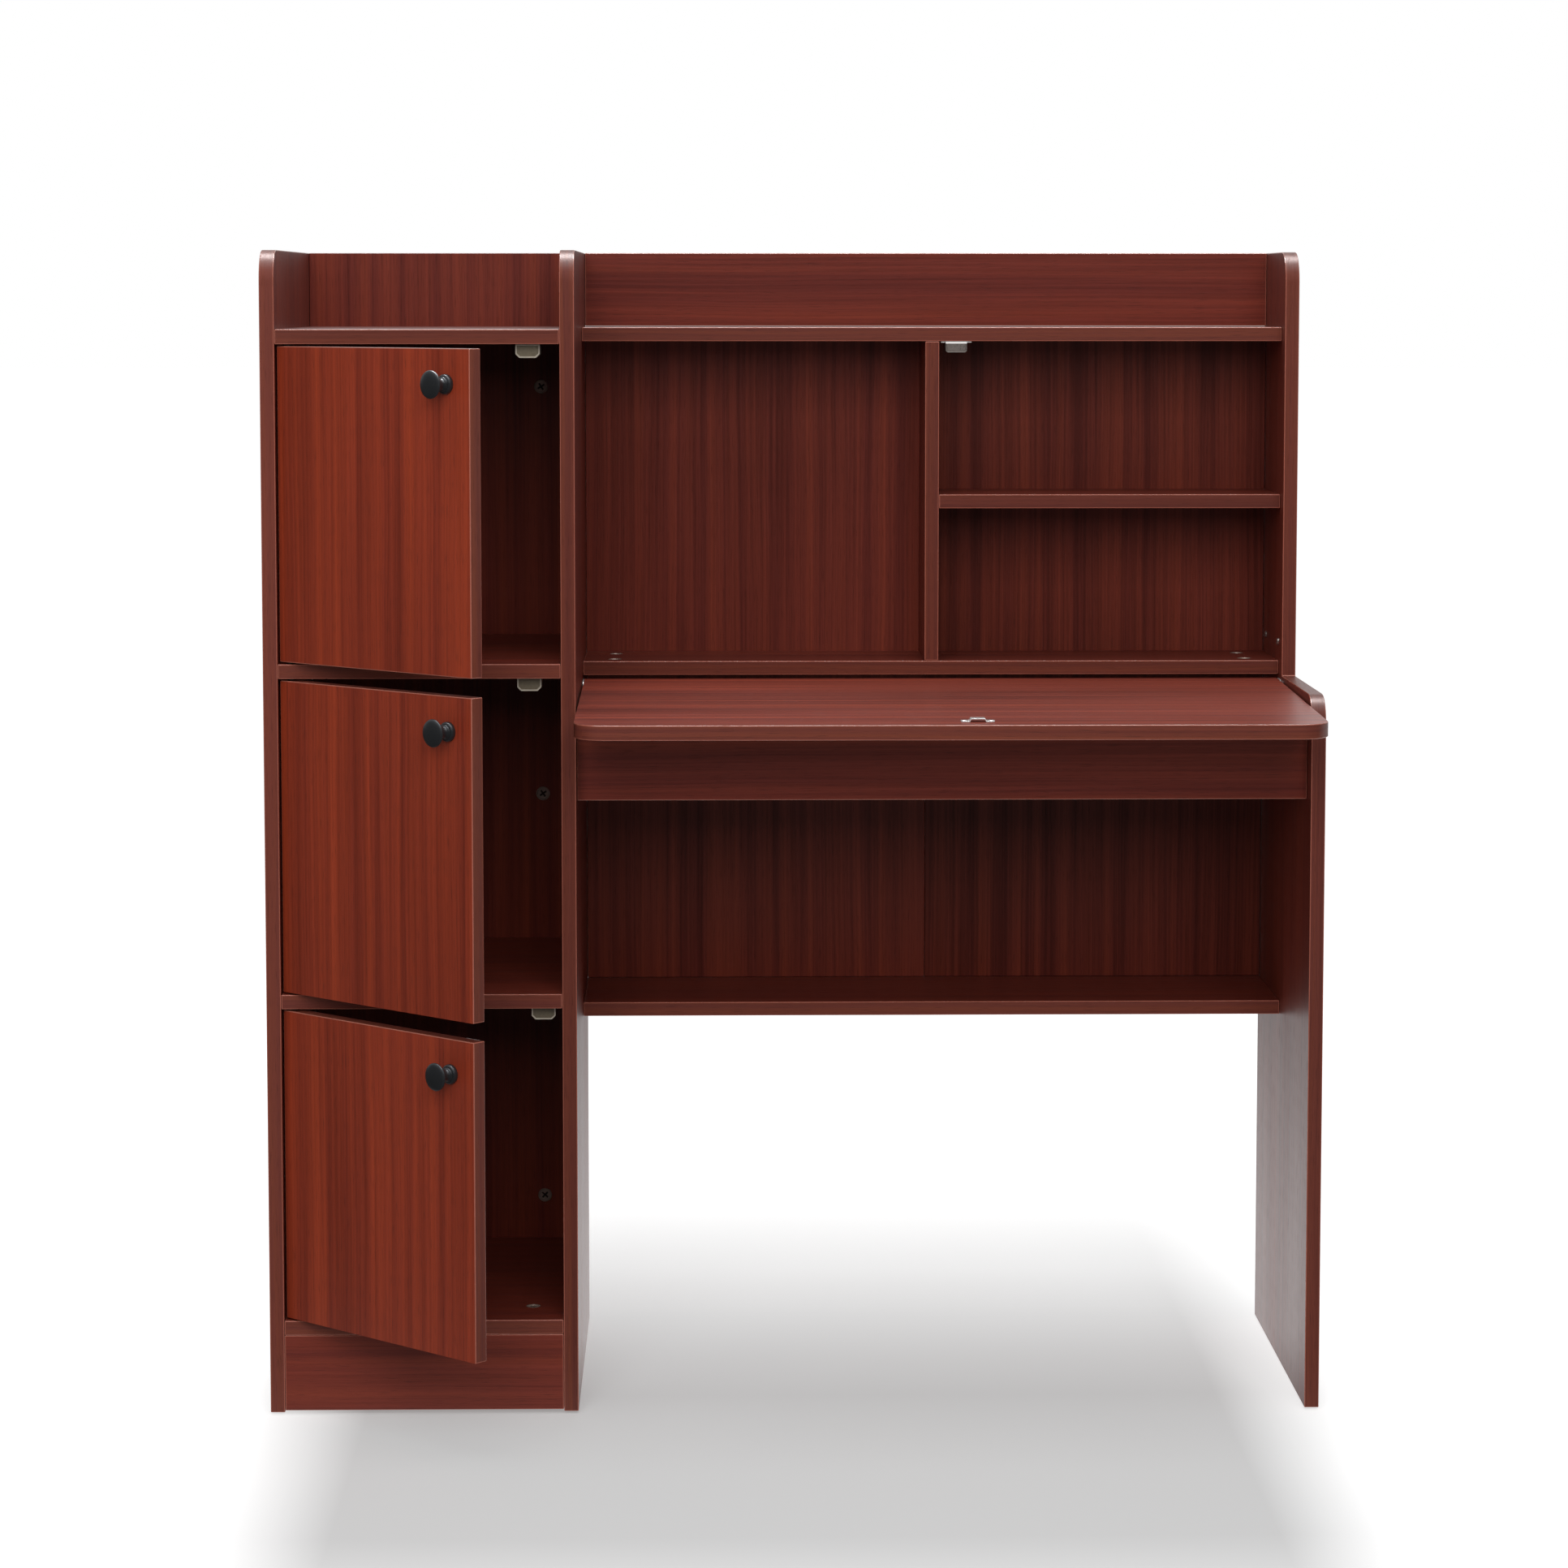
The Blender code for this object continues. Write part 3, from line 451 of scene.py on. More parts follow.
def catch_face():
    """Grey front of a catch's magnet."""
    return plain_finish(
        "catch magnet", (0.175, 0.145, 0.1, 1.0), 0.4, 0.2, patches=420.0, amount=0.45, relief=0.00006)


def brushed_metal():
    """Brushed shell of the desktop's catch."""
    return plain_finish("brushed shell", (0.165, 0.142, 0.128, 1.0), 0.36, 0.3, patches=700.0,
                        amount=0.7, relief=0.00006)


# Pieces
def merged_copy(node):
    """A node's own shape as clean faces: doubles merged and flat faces joined."""
    builder = bmesh.new()
    builder.from_mesh(NODES[node].data)
    bmesh.ops.remove_doubles(builder, verts=builder.verts, dist=0.00001)
    bmesh.ops.dissolve_limit(
        builder, angle_limit=math.radians(1), verts=builder.verts, edges=builder.edges)
    return builder


def thickness_direction(builder):
    """The direction in which the shape has the most face: across a board's thickness."""
    sums = []
    for face in builder.faces:
        for entry in sums:
            if abs(entry[0].dot(face.normal)) > 0.999:
                entry[1] += face.calc_area()
                break
        else:
            sums.append([face.normal.copy(), face.calc_area()])
    direction = max(sums, key=lambda entry: entry[1])[0]
    lead = max(direction, key=abs)
    return direction if lead > 0 else -direction


def node_thickness(node):
    """The direction across a node's thickness."""
    builder = merged_copy(node)
    direction = thickness_direction(builder)
    builder.free()
    return direction


def board_axes(builder, grain):
    """The board's own axes: along the grain, across it, and through its thickness."""
    through = thickness_direction(builder)
    along = (AXES[grain] - through * AXES[grain].dot(through)).normalized()
    return along, through.cross(along), through


def sort_faces(builder, axes):
    """Give each face its slot: laminate, edge band, or the core inside a bore."""
    through = axes[2]
    levels = [vert.co.dot(through) for vert in builder.verts]
    low, high = min(levels), max(levels)
    slack = 0.0003
    least_band = 0.003
    for face in builder.faces:
        if abs(face.normal.dot(through)) > 0.7:
            level = face.calc_center_median().dot(through)
            face.material_index = FACE if min(level - low, high - level) < slack else CORE
            continue
        heights = [vert.co.dot(through) for vert in face.verts]
        run = face.normal.cross(through)
        reach = [vert.co.dot(run) for vert in face.verts]
        full = max(heights) - min(heights) > (high - low) - slack
        face.material_index = BAND if full and max(reach) - min(reach) > least_band else CORE


def soften(builder, edges, width, steps=3, material=-1):
    """Round a choice of edges."""
    bmesh.ops.bevel(builder, geom=edges, offset=width, segments=steps, profile=0.5,
                    affect="EDGES", clamp_overlap=True, material=material)


def sharp_edges(builder, degrees):
    """Edges that turn by more than an angle."""
    return [edge for edge in builder.edges if edge.calc_face_angle() > math.radians(degrees)]


def lies_along(edge, direction):
    """Whether an edge runs the way of a direction."""
    return abs((edge.verts[1].co - edge.verts[0].co).normalized().dot(direction)) > 0.9


def ease_edges(builder, width, steps):
    """Round the outline of the board, but not its bores."""
    edges = [edge for edge in builder.edges if len(edge.link_faces) == 2
             and CORE not in [face.material_index for face in edge.link_faces]
             and edge.calc_face_angle() > math.radians(40)]
    soften(builder, edges, width, steps, ARRIS)


def map_grain(builder, axes, name):
    """Lay the grain map on every face, in metres, each board cut from its own place."""
    along, across, through = axes
    chance = random.Random(name)
    start = (chance.uniform(0, 40), chance.uniform(0, 9))
    layer = builder.loops.layers.uv.new("grain")
    for face in builder.faces:
        run, side = along, through
        if abs(face.normal.dot(through)) > 0.7:
            side = across
        elif abs(face.normal.dot(along)) > abs(face.normal.dot(across)):
            run = across
        for loop in face.loops:
            place = loop.vert.co
            loop[layer].uv = (place.dot(run) + start[0], place.dot(side) + start[1])
    # Each board's tone is a listed one or a random one about the middle; the listed low tones of the
    # hutch backs and the hutch's bottom board are painted shade.
    tone = builder.verts.layers.float.new("tone")
    shade = BOARD_TONES_AND_PAINTED_SHADE.get(name, chance.uniform(0.44, 0.56))
    for vert in builder.verts:
        vert[tone] = shade


def put(name, data):
    """An object in the scene."""
    made = bpy.data.objects.new(name, data)
    bpy.context.scene.collection.objects.link(made)
    return made


def finish_piece(name, mesh, materials, body, replaced):
    """Link a mesh as a piece that rides on its body and stands for its nodes."""
    for item in materials:
        mesh.materials.append(item)
    piece = put(name, mesh)
    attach(piece, body)
    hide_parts(*replaced)
    return piece


def to_mesh(name, builder, smooth=False):
    """A mesh from a bmesh."""
    mesh = bpy.data.meshes.new(name)
    for face in builder.faces:
        face.smooth = smooth
    builder.to_mesh(mesh)
    builder.free()
    return mesh


def softened_piece(node, ending, builder, materials, body):
    """A piece for one node, its eased edges shaded smoothly while broad faces stay flat."""
    name = node + ending
    mesh = to_mesh(name, builder, smooth=True)
    piece = finish_piece(name, mesh, materials, body, [node])
    modifier = piece.modifiers.new("even shading", "WEIGHTED_NORMAL")
    modifier.mode = "FACE_AREA"
    modifier.weight = 50
    modifier.keep_sharp = True


def build_board(node, grain, body, face_finish):
    """One laminated board in place of its node."""
    boards = bpy.context.scene.desk_boards
    builder = merged_copy(node)
    axes = board_axes(builder, grain)
    sort_faces(builder, axes)
    ease_edges(builder, boards.arris, boards.arris_steps)
    map_grain(builder, axes, node)
    # Back boards keep their face finish on the arris; the others take the paler arris, which is partly a
    # painted highlight.
    trimmed = face_finish if "_back_" in node else arris_trim_and_highlight_finish()
    materials = [face_finish, band_finish(), trimmed, core_finish()]
    softened_piece(node, "_laminated", builder, materials, body)


def span(node, direction):
    """Lowest and highest place of a node's points along a direction."""
    places = [vert.co.dot(direction) for vert in NODES[node].data.vertices]
    return min(places), max(places)


def door_facing(level):
    """Outward direction of a door."""
    direction = node_thickness("door_" + level)
    knob = sum(span("knob_" + level, direction))
    door = sum(span("door_" + level, direction))
    return direction if knob > door else -direction


# Catches and plates
PLATE_EDGE = 0.0003             # how far the edges of a pressed plate are rounded
PLATE_CORNER = 0.0022
SUNK_HEAD = 0.0004              # how deep a head sits where a catch must pass close by
STRIKE_SCREWS = 0.0068          # screws of a strike plate, from its middle
PIVOT_SCREWS = 0.0105
BRIDGE_SCREWS = 0.0134
BRIDGE_SHEET = 0.0009           # thickness of the desktop's bent strike plate
BRIDGE_PAD = 0.42               # share of its half length that stands raised
BRIDGE_RAMP = 0.0013
BRIDGE_CORNER = 0.0025
BRIDGE_EDGE = 0.0002
CATCH_EDGE = 0.0006
CATCH_RIM = 0.001
CATCH_WALL = 0.00005            # slope of the wall inside a catch's rim
CATCH_RECESS = 0.0009
CATCH_GROOVE = 0.0003
MAGNET_WALL = 0.0001
MAGNET_RISE = 0.7               # share of the recess that the magnet fills
EAR_THICKNESS = 0.0013          # fixing ears of the desktop's catch
EAR_EDGE = 0.0003
SHELL_EDGE = 0.0004
LIP_HEIGHT = 0.0024
LIP_DEPTH = 0.0012
LEAF_CATCH_CORNER = 0.003
SLIVER = 0.000002               # points nearer than this are one


def clean(builder):
    """Close up slivers left by cutting."""
    bmesh.ops.dissolve_degenerate(builder, dist=SLIVER, edges=builder.edges)
    bmesh.ops.remove_doubles(builder, verts=builder.verts, dist=SLIVER)


def sink_front(builder, front, slot):
    """Set a face back inside a rim, with a raised middle that gets its own slot."""
    for thickness, depth in ((CATCH_RIM, 0.0), (CATCH_WALL, -CATCH_RECESS), (CATCH_GROOVE, 0.0),
                             (MAGNET_WALL, CATCH_RECESS * MAGNET_RISE)):
        made = bmesh.ops.inset_region(builder, faces=[front], thickness=thickness, depth=depth)
    for face in [front, *made["faces"]]:
        face.material_index = slot


def build_catch(node):
    """A moulded catch with its magnet set in a rim."""
    builder = merged_copy(node)
    soften(builder, sharp_edges(builder, 30), CATCH_EDGE)
    front = max(
        (face for face in builder.faces if face.normal.y < -0.9), key=lambda face: face.calc_area())
    sink_front(builder, front, 1)
    softened_piece(node, "_moulded", builder, [catch_plastic(), catch_face()], "carcass")


def add_block(builder, low, high, ease, slot, corner=0.0):
    """A block with softened edges; its lower corners, seen from the front, can be rounded more."""
    block = bmesh.new()
    bmesh.ops.create_cube(block, size=1.0)
    for vert in block.verts:
        vert.co = Vector((a + b) / 2 + share * (b - a) for a, b, share in zip(low, high, vert.co))
    if corner:
        soften(block, [edge for edge in block.edges if edge.verts[0].co.z < high[2] - ease
                       and edge.verts[1].co.z < high[2] - ease
                       and abs((edge.verts[0].co - edge.verts[1].co).y) > ease], corner, 5)
    soften(block, sharp_edges(block, 40), ease, 2)
    front = min(block.faces, key=lambda face: (round(face.calc_center_median().y, 5), -face.calc_area()))
    for face in block.faces:
        face.material_index = slot
    if corner:
        sink_front(block, front, slot)
    mesh = bpy.data.meshes.new("block")
    block.to_mesh(mesh)
    block.free()
    builder.from_mesh(mesh)
    bpy.data.meshes.remove(mesh)


def build_leaf_catch(node):
    """Brushed catch for the desktop: two fixing ears and a lip, both near-white as a painted reflection,
    and the magnet's shell.
    """
    low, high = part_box(node)
    levels = sorted({round(vert.co.z, 5) for vert in NODES[node].data.vertices})
    body = [vert.co.x for vert in NODES[node].data.vertices if vert.co.z < levels[-2] - 0.0001]
    left, right = min(body), max(body)
    builder = bmesh.new()
    # The ears and the lip take slot 1, the near-white plate whose brightness is a painted reflection.
    add_block(builder, (low.x, low.y + LIP_DEPTH * 2, high.z - EAR_THICKNESS),
              (high.x, high.y, high.z), EAR_EDGE, 1)
    add_block(
        builder, (left, low.y, high.z - LIP_HEIGHT), (right, low.y + LIP_DEPTH, high.z), EAR_EDGE, 1)
    add_block(
        builder, (left, low.y + LIP_DEPTH / 3, low.z), (right, high.y - LIP_DEPTH,
        high.z - EAR_THICKNESS / 2), SHELL_EDGE, 0, LEAF_CATCH_CORNER)
    softened_piece(node, "_shell", builder, [brushed_metal(), lip_painted_reflection()], "carcass")


def build_strike(node, body, facing, reach=STRIKE_SCREWS, corner=PLATE_CORNER, sunk=0.0):
    """A pressed plate with softened edges; returns the places of its two screws."""
    builder = merged_copy(node)
    turn = facing.to_track_quat("Z", "Y")
    if corner:
        posts = [edge for edge in sharp_edges(builder, 60) if lies_along(edge, facing)]
        soften(builder, posts, corner, 5)
    soften(builder, sharp_edges(builder, 60), PLATE_EDGE, 2)
    softened_piece(node, "_pressed", builder, [steel()], body)

    sides = sorted((turn @ AXES["X"], turn @ AXES["Y"]),
                   key=lambda axis: span(node, axis)[1] - span(node, axis)[0])
    middle = sum((axis * sum(span(node, axis)) / 2 for axis in sides), Vector())
    outer = facing * (plate_face(node, facing) - sunk)
    return [(middle + outer + sides[1] * reach * end, facing, PLATE_SCREW_TURN + end) for end in (-1, 1)]


def plate_face(node, facing):
    """How far along its facing a plate's broad outer face lies."""
    builder = merged_copy(node)
    faces = [face for face in builder.faces if face.normal.dot(facing) > 0.99]
    broad = max(faces, key=lambda face: face.calc_area())
    level = broad.calc_center_median().dot(facing)
    builder.free()
    return level


def build_bridge(node, body, host):
    """A strike plate pressed from sheet: two ears and a raised bridge; returns its screws."""
    up = node_thickness(host)
    along = AXES["X"]
    deep = up.cross(along)
    low, high = span(node, up)
    left, right = span(node, along)
    front, rear = span(node, deep)
    middle = (left + right) / 2
    half = (right - left) / 2
    pad = half * BRIDGE_PAD
    height = high - low
    outer = [(-half, BRIDGE_SHEET), (-pad - BRIDGE_RAMP, BRIDGE_SHEET), (-pad, height)]
    inner = [(-half, 0.0), (-pad - BRIDGE_RAMP + BRIDGE_SHEET / 2, 0.0), (
        -pad + BRIDGE_SHEET / 2, height - BRIDGE_SHEET)]
    outline = outer + [(-x, z) for x, z in reversed(outer)]
    outline += [(-x, z) for x, z in inner] + list(reversed(inner))
    builder = bmesh.new()
    corners = [
        builder.verts.new(along * (middle + x) + up * (low + z) + deep * front) for x, z in outline]
    face = builder.faces.new(corners)
    extruded = bmesh.ops.extrude_face_region(builder, geom=[face])
    far = [item for item in extruded["geom"] if isinstance(item, bmesh.types.BMVert)]
    bmesh.ops.translate(builder, verts=far, vec=deep * (rear - front))
    bmesh.ops.recalc_face_normals(builder, faces=builder.faces)
    posts = [edge for edge in builder.edges if lies_along(edge, up)
             and min(abs(edge.verts[0].co.dot(along) - side) for side in (left, right)) < 0.0002]
    soften(builder, posts, BRIDGE_CORNER, 5)
    soften(builder, sharp_edges(builder, 25), BRIDGE_EDGE, 2)
    clean(builder)
    softened_piece(node, "_pressed", builder, [steel()], body)
    centre = up * (low + BRIDGE_SHEET) + deep * (front + rear) / 2
    return [(centre + along * (middle + BRIDGE_SCREWS * end), up, PLATE_SCREW_TURN + end) for end in (
        -1, 1)]


# Repeated fittings
KNOB_PROFILE = (
    (0.0, 1.0), (0.3, 0.995), (0.58, 0.975), (0.8, 0.945), (0.91, 0.922), (0.97, 0.898),
    (1.0, 0.868), (0.995, 0.84), (0.96, 0.818), (0.84, 0.8), (0.62, 0.78), (0.46, 0.735),
    (0.375, 0.64), (0.34, 0.5), (0.345, 0.38), (0.385, 0.3), (0.445, 0.262), (0.5, 0.25),
    (0.515, 0.205), (0.6, 0.195), (0.67, 0.165), (0.71, 0.115), (0.715, 0.02), (0.7, 0.0),
    (0.0, -0.004))
CAM_PROFILE = (
    (0.0, 0.9), (0.76, 0.899), (0.8, 0.96), (0.84, 1.0), (0.95, 0.999), (1.0, 0.965),
    (1.0, 0.02), (0.97, 0.0), (0.0, -0.004))
ROUND_SCREW_PROFILE = (
    (0.0, 1.0), (0.28, 0.975), (0.55, 0.88), (0.8, 0.68), (0.95, 0.4), (1.0, 0.12),
    (0.97, 0.0), (0.45, -0.02), (0.45, -1.5), (0.0, -1.8))
COUNTERSUNK_PROFILE = (
    (0.0, 1.0), (0.45, 0.96), (0.82, 0.78), (0.97, 0.5), (1.0, 0.3), (0.95, 0.0), (0.0, -0.01))
GLIDE_PROFILE = (
    (0.0, 1.0), (0.3, 0.985), (0.36, 0.86), (0.46, 0.85), (0.52, 0.985), (0.8, 0.96),
    (0.95, 0.82), (1.0, 0.62), (1.0, 0.02), (0.98, 0.0), (0.0, -0.01))

SMALL_HEAD_HEIGHT = 0.0005
UPRIGHT_SCREW_TURN = 0.4        # how far a driver recess is turned, in radians
KNOB_SCREW_TURN = 0.7
PLATE_SCREW_TURN = 0.5
CAM_TURN_SPREAD = 0.2


def seat(node, facing):
    """Where a turned fitting starts, on its own axis, and how far it reaches along it."""
    turn = facing.to_track_quat("Z", "Y")
    low, high = span(node, facing)
    point = facing * low
    for axis in (turn @ AXES["X"], turn @ AXES["Y"]):
        point += axis * sum(span(node, axis)) / 2
    return point, high - low


def nodes_called(start):
    """The nodes whose names start alike, in order."""
    return sorted(name for name in NODES if name.startswith(start))


def fitting_points(name, places):
    """Points that carry fittings, each with the rotation that its fitting gets."""
    mesh = bpy.data.meshes.new(name)
    mesh.from_pydata([point for point, _, _ in places], [], [])
    placing = mesh.attributes.new("placing", "QUATERNION", "POINT")
    for item, (_, facing, turn) in zip(placing.data, places):
        item.value = facing.to_track_quat("Z", "Y") @ Quaternion((0, 0, 1), turn)
    return mesh


def shape(tree, kind, feeds=None, **settings):
    """Add a geometry node; returns what it makes."""
    return lay(tree, "GeometryNode" + kind, feeds, **settings).outputs[0]


def join(tree, parts):
    """Several shapes as one."""
    joined = lay(tree, "GeometryNodeJoinGeometry")
    for part in parts:
        tree.links.new(part, joined.inputs[0])
    return joined.outputs[0]


def turned_form(tree, profile, sides):
    """A turned solid one unit in radius and height; the profile runs from its top centre down."""
    rings = []
    for (upper_radius, upper), (lower_radius, lower) in zip(profile, profile[1:]):
        falling = lower < upper
        bottom, top = (lower_radius, upper_radius) if falling else (upper_radius, lower_radius)
        ring = shape(tree, "MeshCone", {
            "Vertices": sides, "Radius Top": top, "Radius Bottom": bottom,
            "Depth": abs(upper - lower)}, fill_type="NONE")
        moved = shape(tree, "Transform", {"Geometry": ring, "Translation": (0.0, 0.0, min(upper, lower))})
        rings.append(moved if falling else shape(tree, "FlipFaces", {"Mesh": moved}))
    return shape(tree, "MergeByDistance", {"Geometry": join(tree, rings), "Distance": 0.002})


def cross_cutter(tree, length, width, depth, top):
    """Two crossed bars that sink a driver recess below a height."""
    height = calculate(tree, "MULTIPLY", depth, 2.0)
    lift = lay(tree, "ShaderNodeCombineXYZ", {"Z": top}).outputs[0]
    bars = []
    for size in ((length, width), (width, length)):
        spread = lay(tree, "ShaderNodeCombineXYZ", {"X": size[0], "Y": size[1], "Z": height}).outputs[0]
        bar = shape(tree, "MeshCube", {"Size": spread})
        bars.append(shape(tree, "Transform", {"Geometry": bar, "Translation": lift}))
    return shape(tree, "MeshBoolean", {1: join(tree, bars)}, operation="UNION", solver="EXACT")


def fitting_tree(name, profile, sides, recess=None, smooth_angle=35.0):
    """A tree that sets one turned fitting on every point, with a driver recess if it has one.

    The recess is (length, width, depth, top), in shares of the radius and of the height.
    """
    inputs = [("Points", "Geometry", None), ("Radius", "Float", 0.01), ("Height", "Float", 0.01),
              ("Finish", "Material", None), ("Recess finish", "Material", None)]
    tree, given, leave = group(name, "GeometryNodeTree", inputs, [("Mesh", "Geometry", None)])
    scale = lay(tree, "ShaderNodeCombineXYZ", {
        "X": given["Radius"], "Y": given["Radius"], "Z": given["Height"]}).outputs[0]
    form = turned_form(tree, profile, sides)
    form = shape(tree, "Transform", {"Geometry": form, "Scale": scale})
    if recess:
        length, width, depth, top = (
            calculate(tree, "MULTIPLY", given[label], share) for label, share
            in zip(("Radius", "Radius", "Height", "Height"), recess))
        cutter = shape(tree, "StoreNamedAttribute", {
            "Geometry": cross_cutter(tree, length, width, depth, top), "Name": "recess",
            "Value": True}, data_type="BOOLEAN", domain="FACE")
        form = shape(tree, "MeshBoolean", {0: form, 1: cutter}, operation="DIFFERENCE", solver="EXACT")
    calm = calculate(tree, "LESS_THAN", shape(tree, "InputMeshEdgeAngle"), math.radians(smooth_angle))
    for smooth, domain in ((True, "FACE"), (calm, "EDGE")):
        form = shape(tree, "SetShadeSmooth", {"Geometry": form, "Shade Smooth": smooth}, domain=domain)

    placing = shape(tree, "InputNamedAttribute", {"Name": "placing"}, data_type="QUATERNION")
    spread = shape(tree, "InstanceOnPoints", {
        "Points": given["Points"], "Instance": form, "Rotation": placing})
    real = shape(tree, "RealizeInstances", {"Geometry": spread})
    form = shape(tree, "SetMaterial", {"Geometry": real, "Material": given["Finish"]})
    # The recess faces take the near-black recess material: painted shade in the driver recess.
    if recess:
        inside = shape(tree, "InputNamedAttribute", {"Name": "recess"}, data_type="BOOLEAN")
        form = shape(tree, "SetMaterial", {
            "Geometry": form, "Selection": inside, "Material": given["Recess finish"]})
    tree.links.new(form, leave.inputs[0])
    return tree


def place_fittings(name, tree, places, radius, height, finish, body, replaced=()):
    """Run a fitting tree on its points and keep the result as one plain mesh."""
    carrier = put(name, fitting_points(name + "_points", places))
    modifier = carrier.modifiers.new("fittings", "NODES")
    modifier.node_group = tree
    sockets = {item.name: item.identifier for item in tree.interface.items_tree if item.in_out == "INPUT"}
    for label, value in (("Radius", radius), ("Height", height), ("Finish", finish),
                         ("Recess finish", recess_painted_shade())):
        modifier[sockets[label]] = value
    shown = bpy.context.evaluated_depsgraph_get()
    mesh = bpy.data.meshes.new_from_object(carrier.evaluated_get(shown), depsgraph=shown)
    if not mesh.polygons:
        raise RuntimeError(name + " came out empty")
    carrier.modifiers.remove(modifier)
    bpy.data.objects.remove(carrier)
    for label in ("placing", "recess"):
        if label in mesh.attributes:
            mesh.attributes.remove(mesh.attributes[label])
    builder = bmesh.new()
    builder.from_mesh(mesh)
    clean(builder)
    builder.to_mesh(mesh)
    builder.free()
    mesh.name = name
    return finish_piece(name, mesh, [], body, list(replaced))


# Operators
class DESK_OT_carcass(bpy.types.Operator):
    """Finish the uprights, shelves, backs and rails"""

    bl_idname = "desk.carcass"
    bl_label = "Carcass boards"

    def execute(self, context):
        boards = context.scene.desk_boards
        finish = laminate("carcass laminate", boards.carcass_colour)
        for node, grain in GRAIN.items():
            build_board(node, grain, "carcass", finish)
        return {"FINISHED"}


class DESK_OT_doors(bpy.types.Operator):
    """Finish the three doors"""

    bl_idname = "desk.doors"
    bl_label = "Doors"

    def execute(self, context):
        finish = laminate("door laminate", context.scene.desk_boards.door_colour)
        for level in LEVELS:
            build_board("door_" + level, "Z", "door_" + level, finish)
        return {"FINISHED"}


class DESK_OT_desktop(bpy.types.Operator):
    """Finish the fold-down desktop"""

    bl_idname = "desk.desktop"
    bl_label = "Desktop"

    def execute(self, context):
        finish = laminate("desktop laminate", context.scene.desk_boards.desktop_colour,
                          contrast=1.15, stripes=0.018, gloss=0.02)
        build_board("desktop_leaf", "X", "leaf", finish)
        return {"FINISHED"}

class DESK_OT_knobs(bpy.types.Operator):
    """Set a turned knob on each door"""

    bl_idname = "desk.knobs"
    bl_label = "Knobs"

    def execute(self, context):
        tree = fitting_tree("turned knob", KNOB_PROFILE, 48, smooth_angle=60.0)
        for level in LEVELS:
            facing = door_facing(level)
            point, height = seat("knob_" + level, facing)
            place_fittings("turned_knob_" + level, tree, [(point, facing, 0.0)],
                           context.scene.desk_fittings.knob_radius, height, knob_enamel(),
                           "door_" + level, ["knob_" + level])
        return {"FINISHED"}


class DESK_OT_cam_locks(bpy.types.Operator):
    """Set the cam locks flush in their boards"""

    bl_idname = "desk.cam_locks"
    bl_label = "Cam locks"

    def execute(self, context):
        fittings = context.scene.desk_fittings
        tree = fitting_tree("cam lock", CAM_PROFILE, 32, recess=(1.15, 0.26, 0.17, 0.9))
        nodes = nodes_called("cam_lock_")
        chance = random.Random("cam locks")
        places = []
        for node in nodes:
            facing = -AXES["Y"] if "back" in node else AXES["Z"]
            point, height = seat(node, facing)
            places.append(
                (point, facing, fittings.cam_turn + chance.uniform(-CAM_TURN_SPREAD, CAM_TURN_SPREAD)))
        place_fittings("cam_locks", tree, places, fittings.cam_radius, height, cam_metal(),
                       "carcass", nodes)
        return {"FINISHED"}


class DESK_OT_screws(bpy.types.Operator):
    """Set the round-headed screws of the right upright and of the knobs"""

    bl_idname = "desk.screws"
    bl_label = "Round-headed screws"

    def execute(self, context):
        tree = fitting_tree("round-headed screw", ROUND_SCREW_PROFILE, 24, recess=(1.15, 0.24, 0.55, 1.0))
        inner_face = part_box("right_upright")[0].x
        nodes = ["upright_screw_front", "upright_screw_rear"]
        facing = -AXES["X"]
        places = []
        for index, node in enumerate(nodes):
            point, _ = seat(node, facing)
            point.x = inner_face
            places.append((point, facing, UPRIGHT_SCREW_TURN + index))
        height = inner_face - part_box(nodes[0])[0].x
        place_fittings("round_upright_screws", tree, places, box_size(nodes[0]).z / 2, height,
                       screw_metal(), "carcass", nodes)

        for level in LEVELS:
            inward = -door_facing(level)
            point, _ = seat("knob_screw_" + level, inward)
            face = span("door_" + level, inward)[1]
            tip = span("knob_screw_" + level, inward)[1]
            point += inward * (face - point.dot(inward))
            place_fittings("round_knob_screw_" + level, tree, [(point, inward, KNOB_SCREW_TURN)],
                           box_size("knob_screw_" + level).z / 2, tip - face, screw_metal(),
                           "door_" + level, ["knob_screw_" + level])
        return {"FINISHED"}


class DESK_OT_glides(bpy.types.Operator):
    """Set the foot glides under the uprights"""

    bl_idname = "desk.glides"
    bl_label = "Foot glides"

    def execute(self, context):
        tree = fitting_tree("foot glide", GLIDE_PROFILE, 32)
        nodes = nodes_called("foot_glide_")
        places = []
        for node in nodes:
            point, height = seat(node, -AXES["Z"])
            places.append((point, -AXES["Z"], 0.0))
        place_fittings("foot_glides", tree, places, context.scene.desk_fittings.glide_radius,
                       height, glide_plastic(), "carcass", nodes)
        return {"FINISHED"}


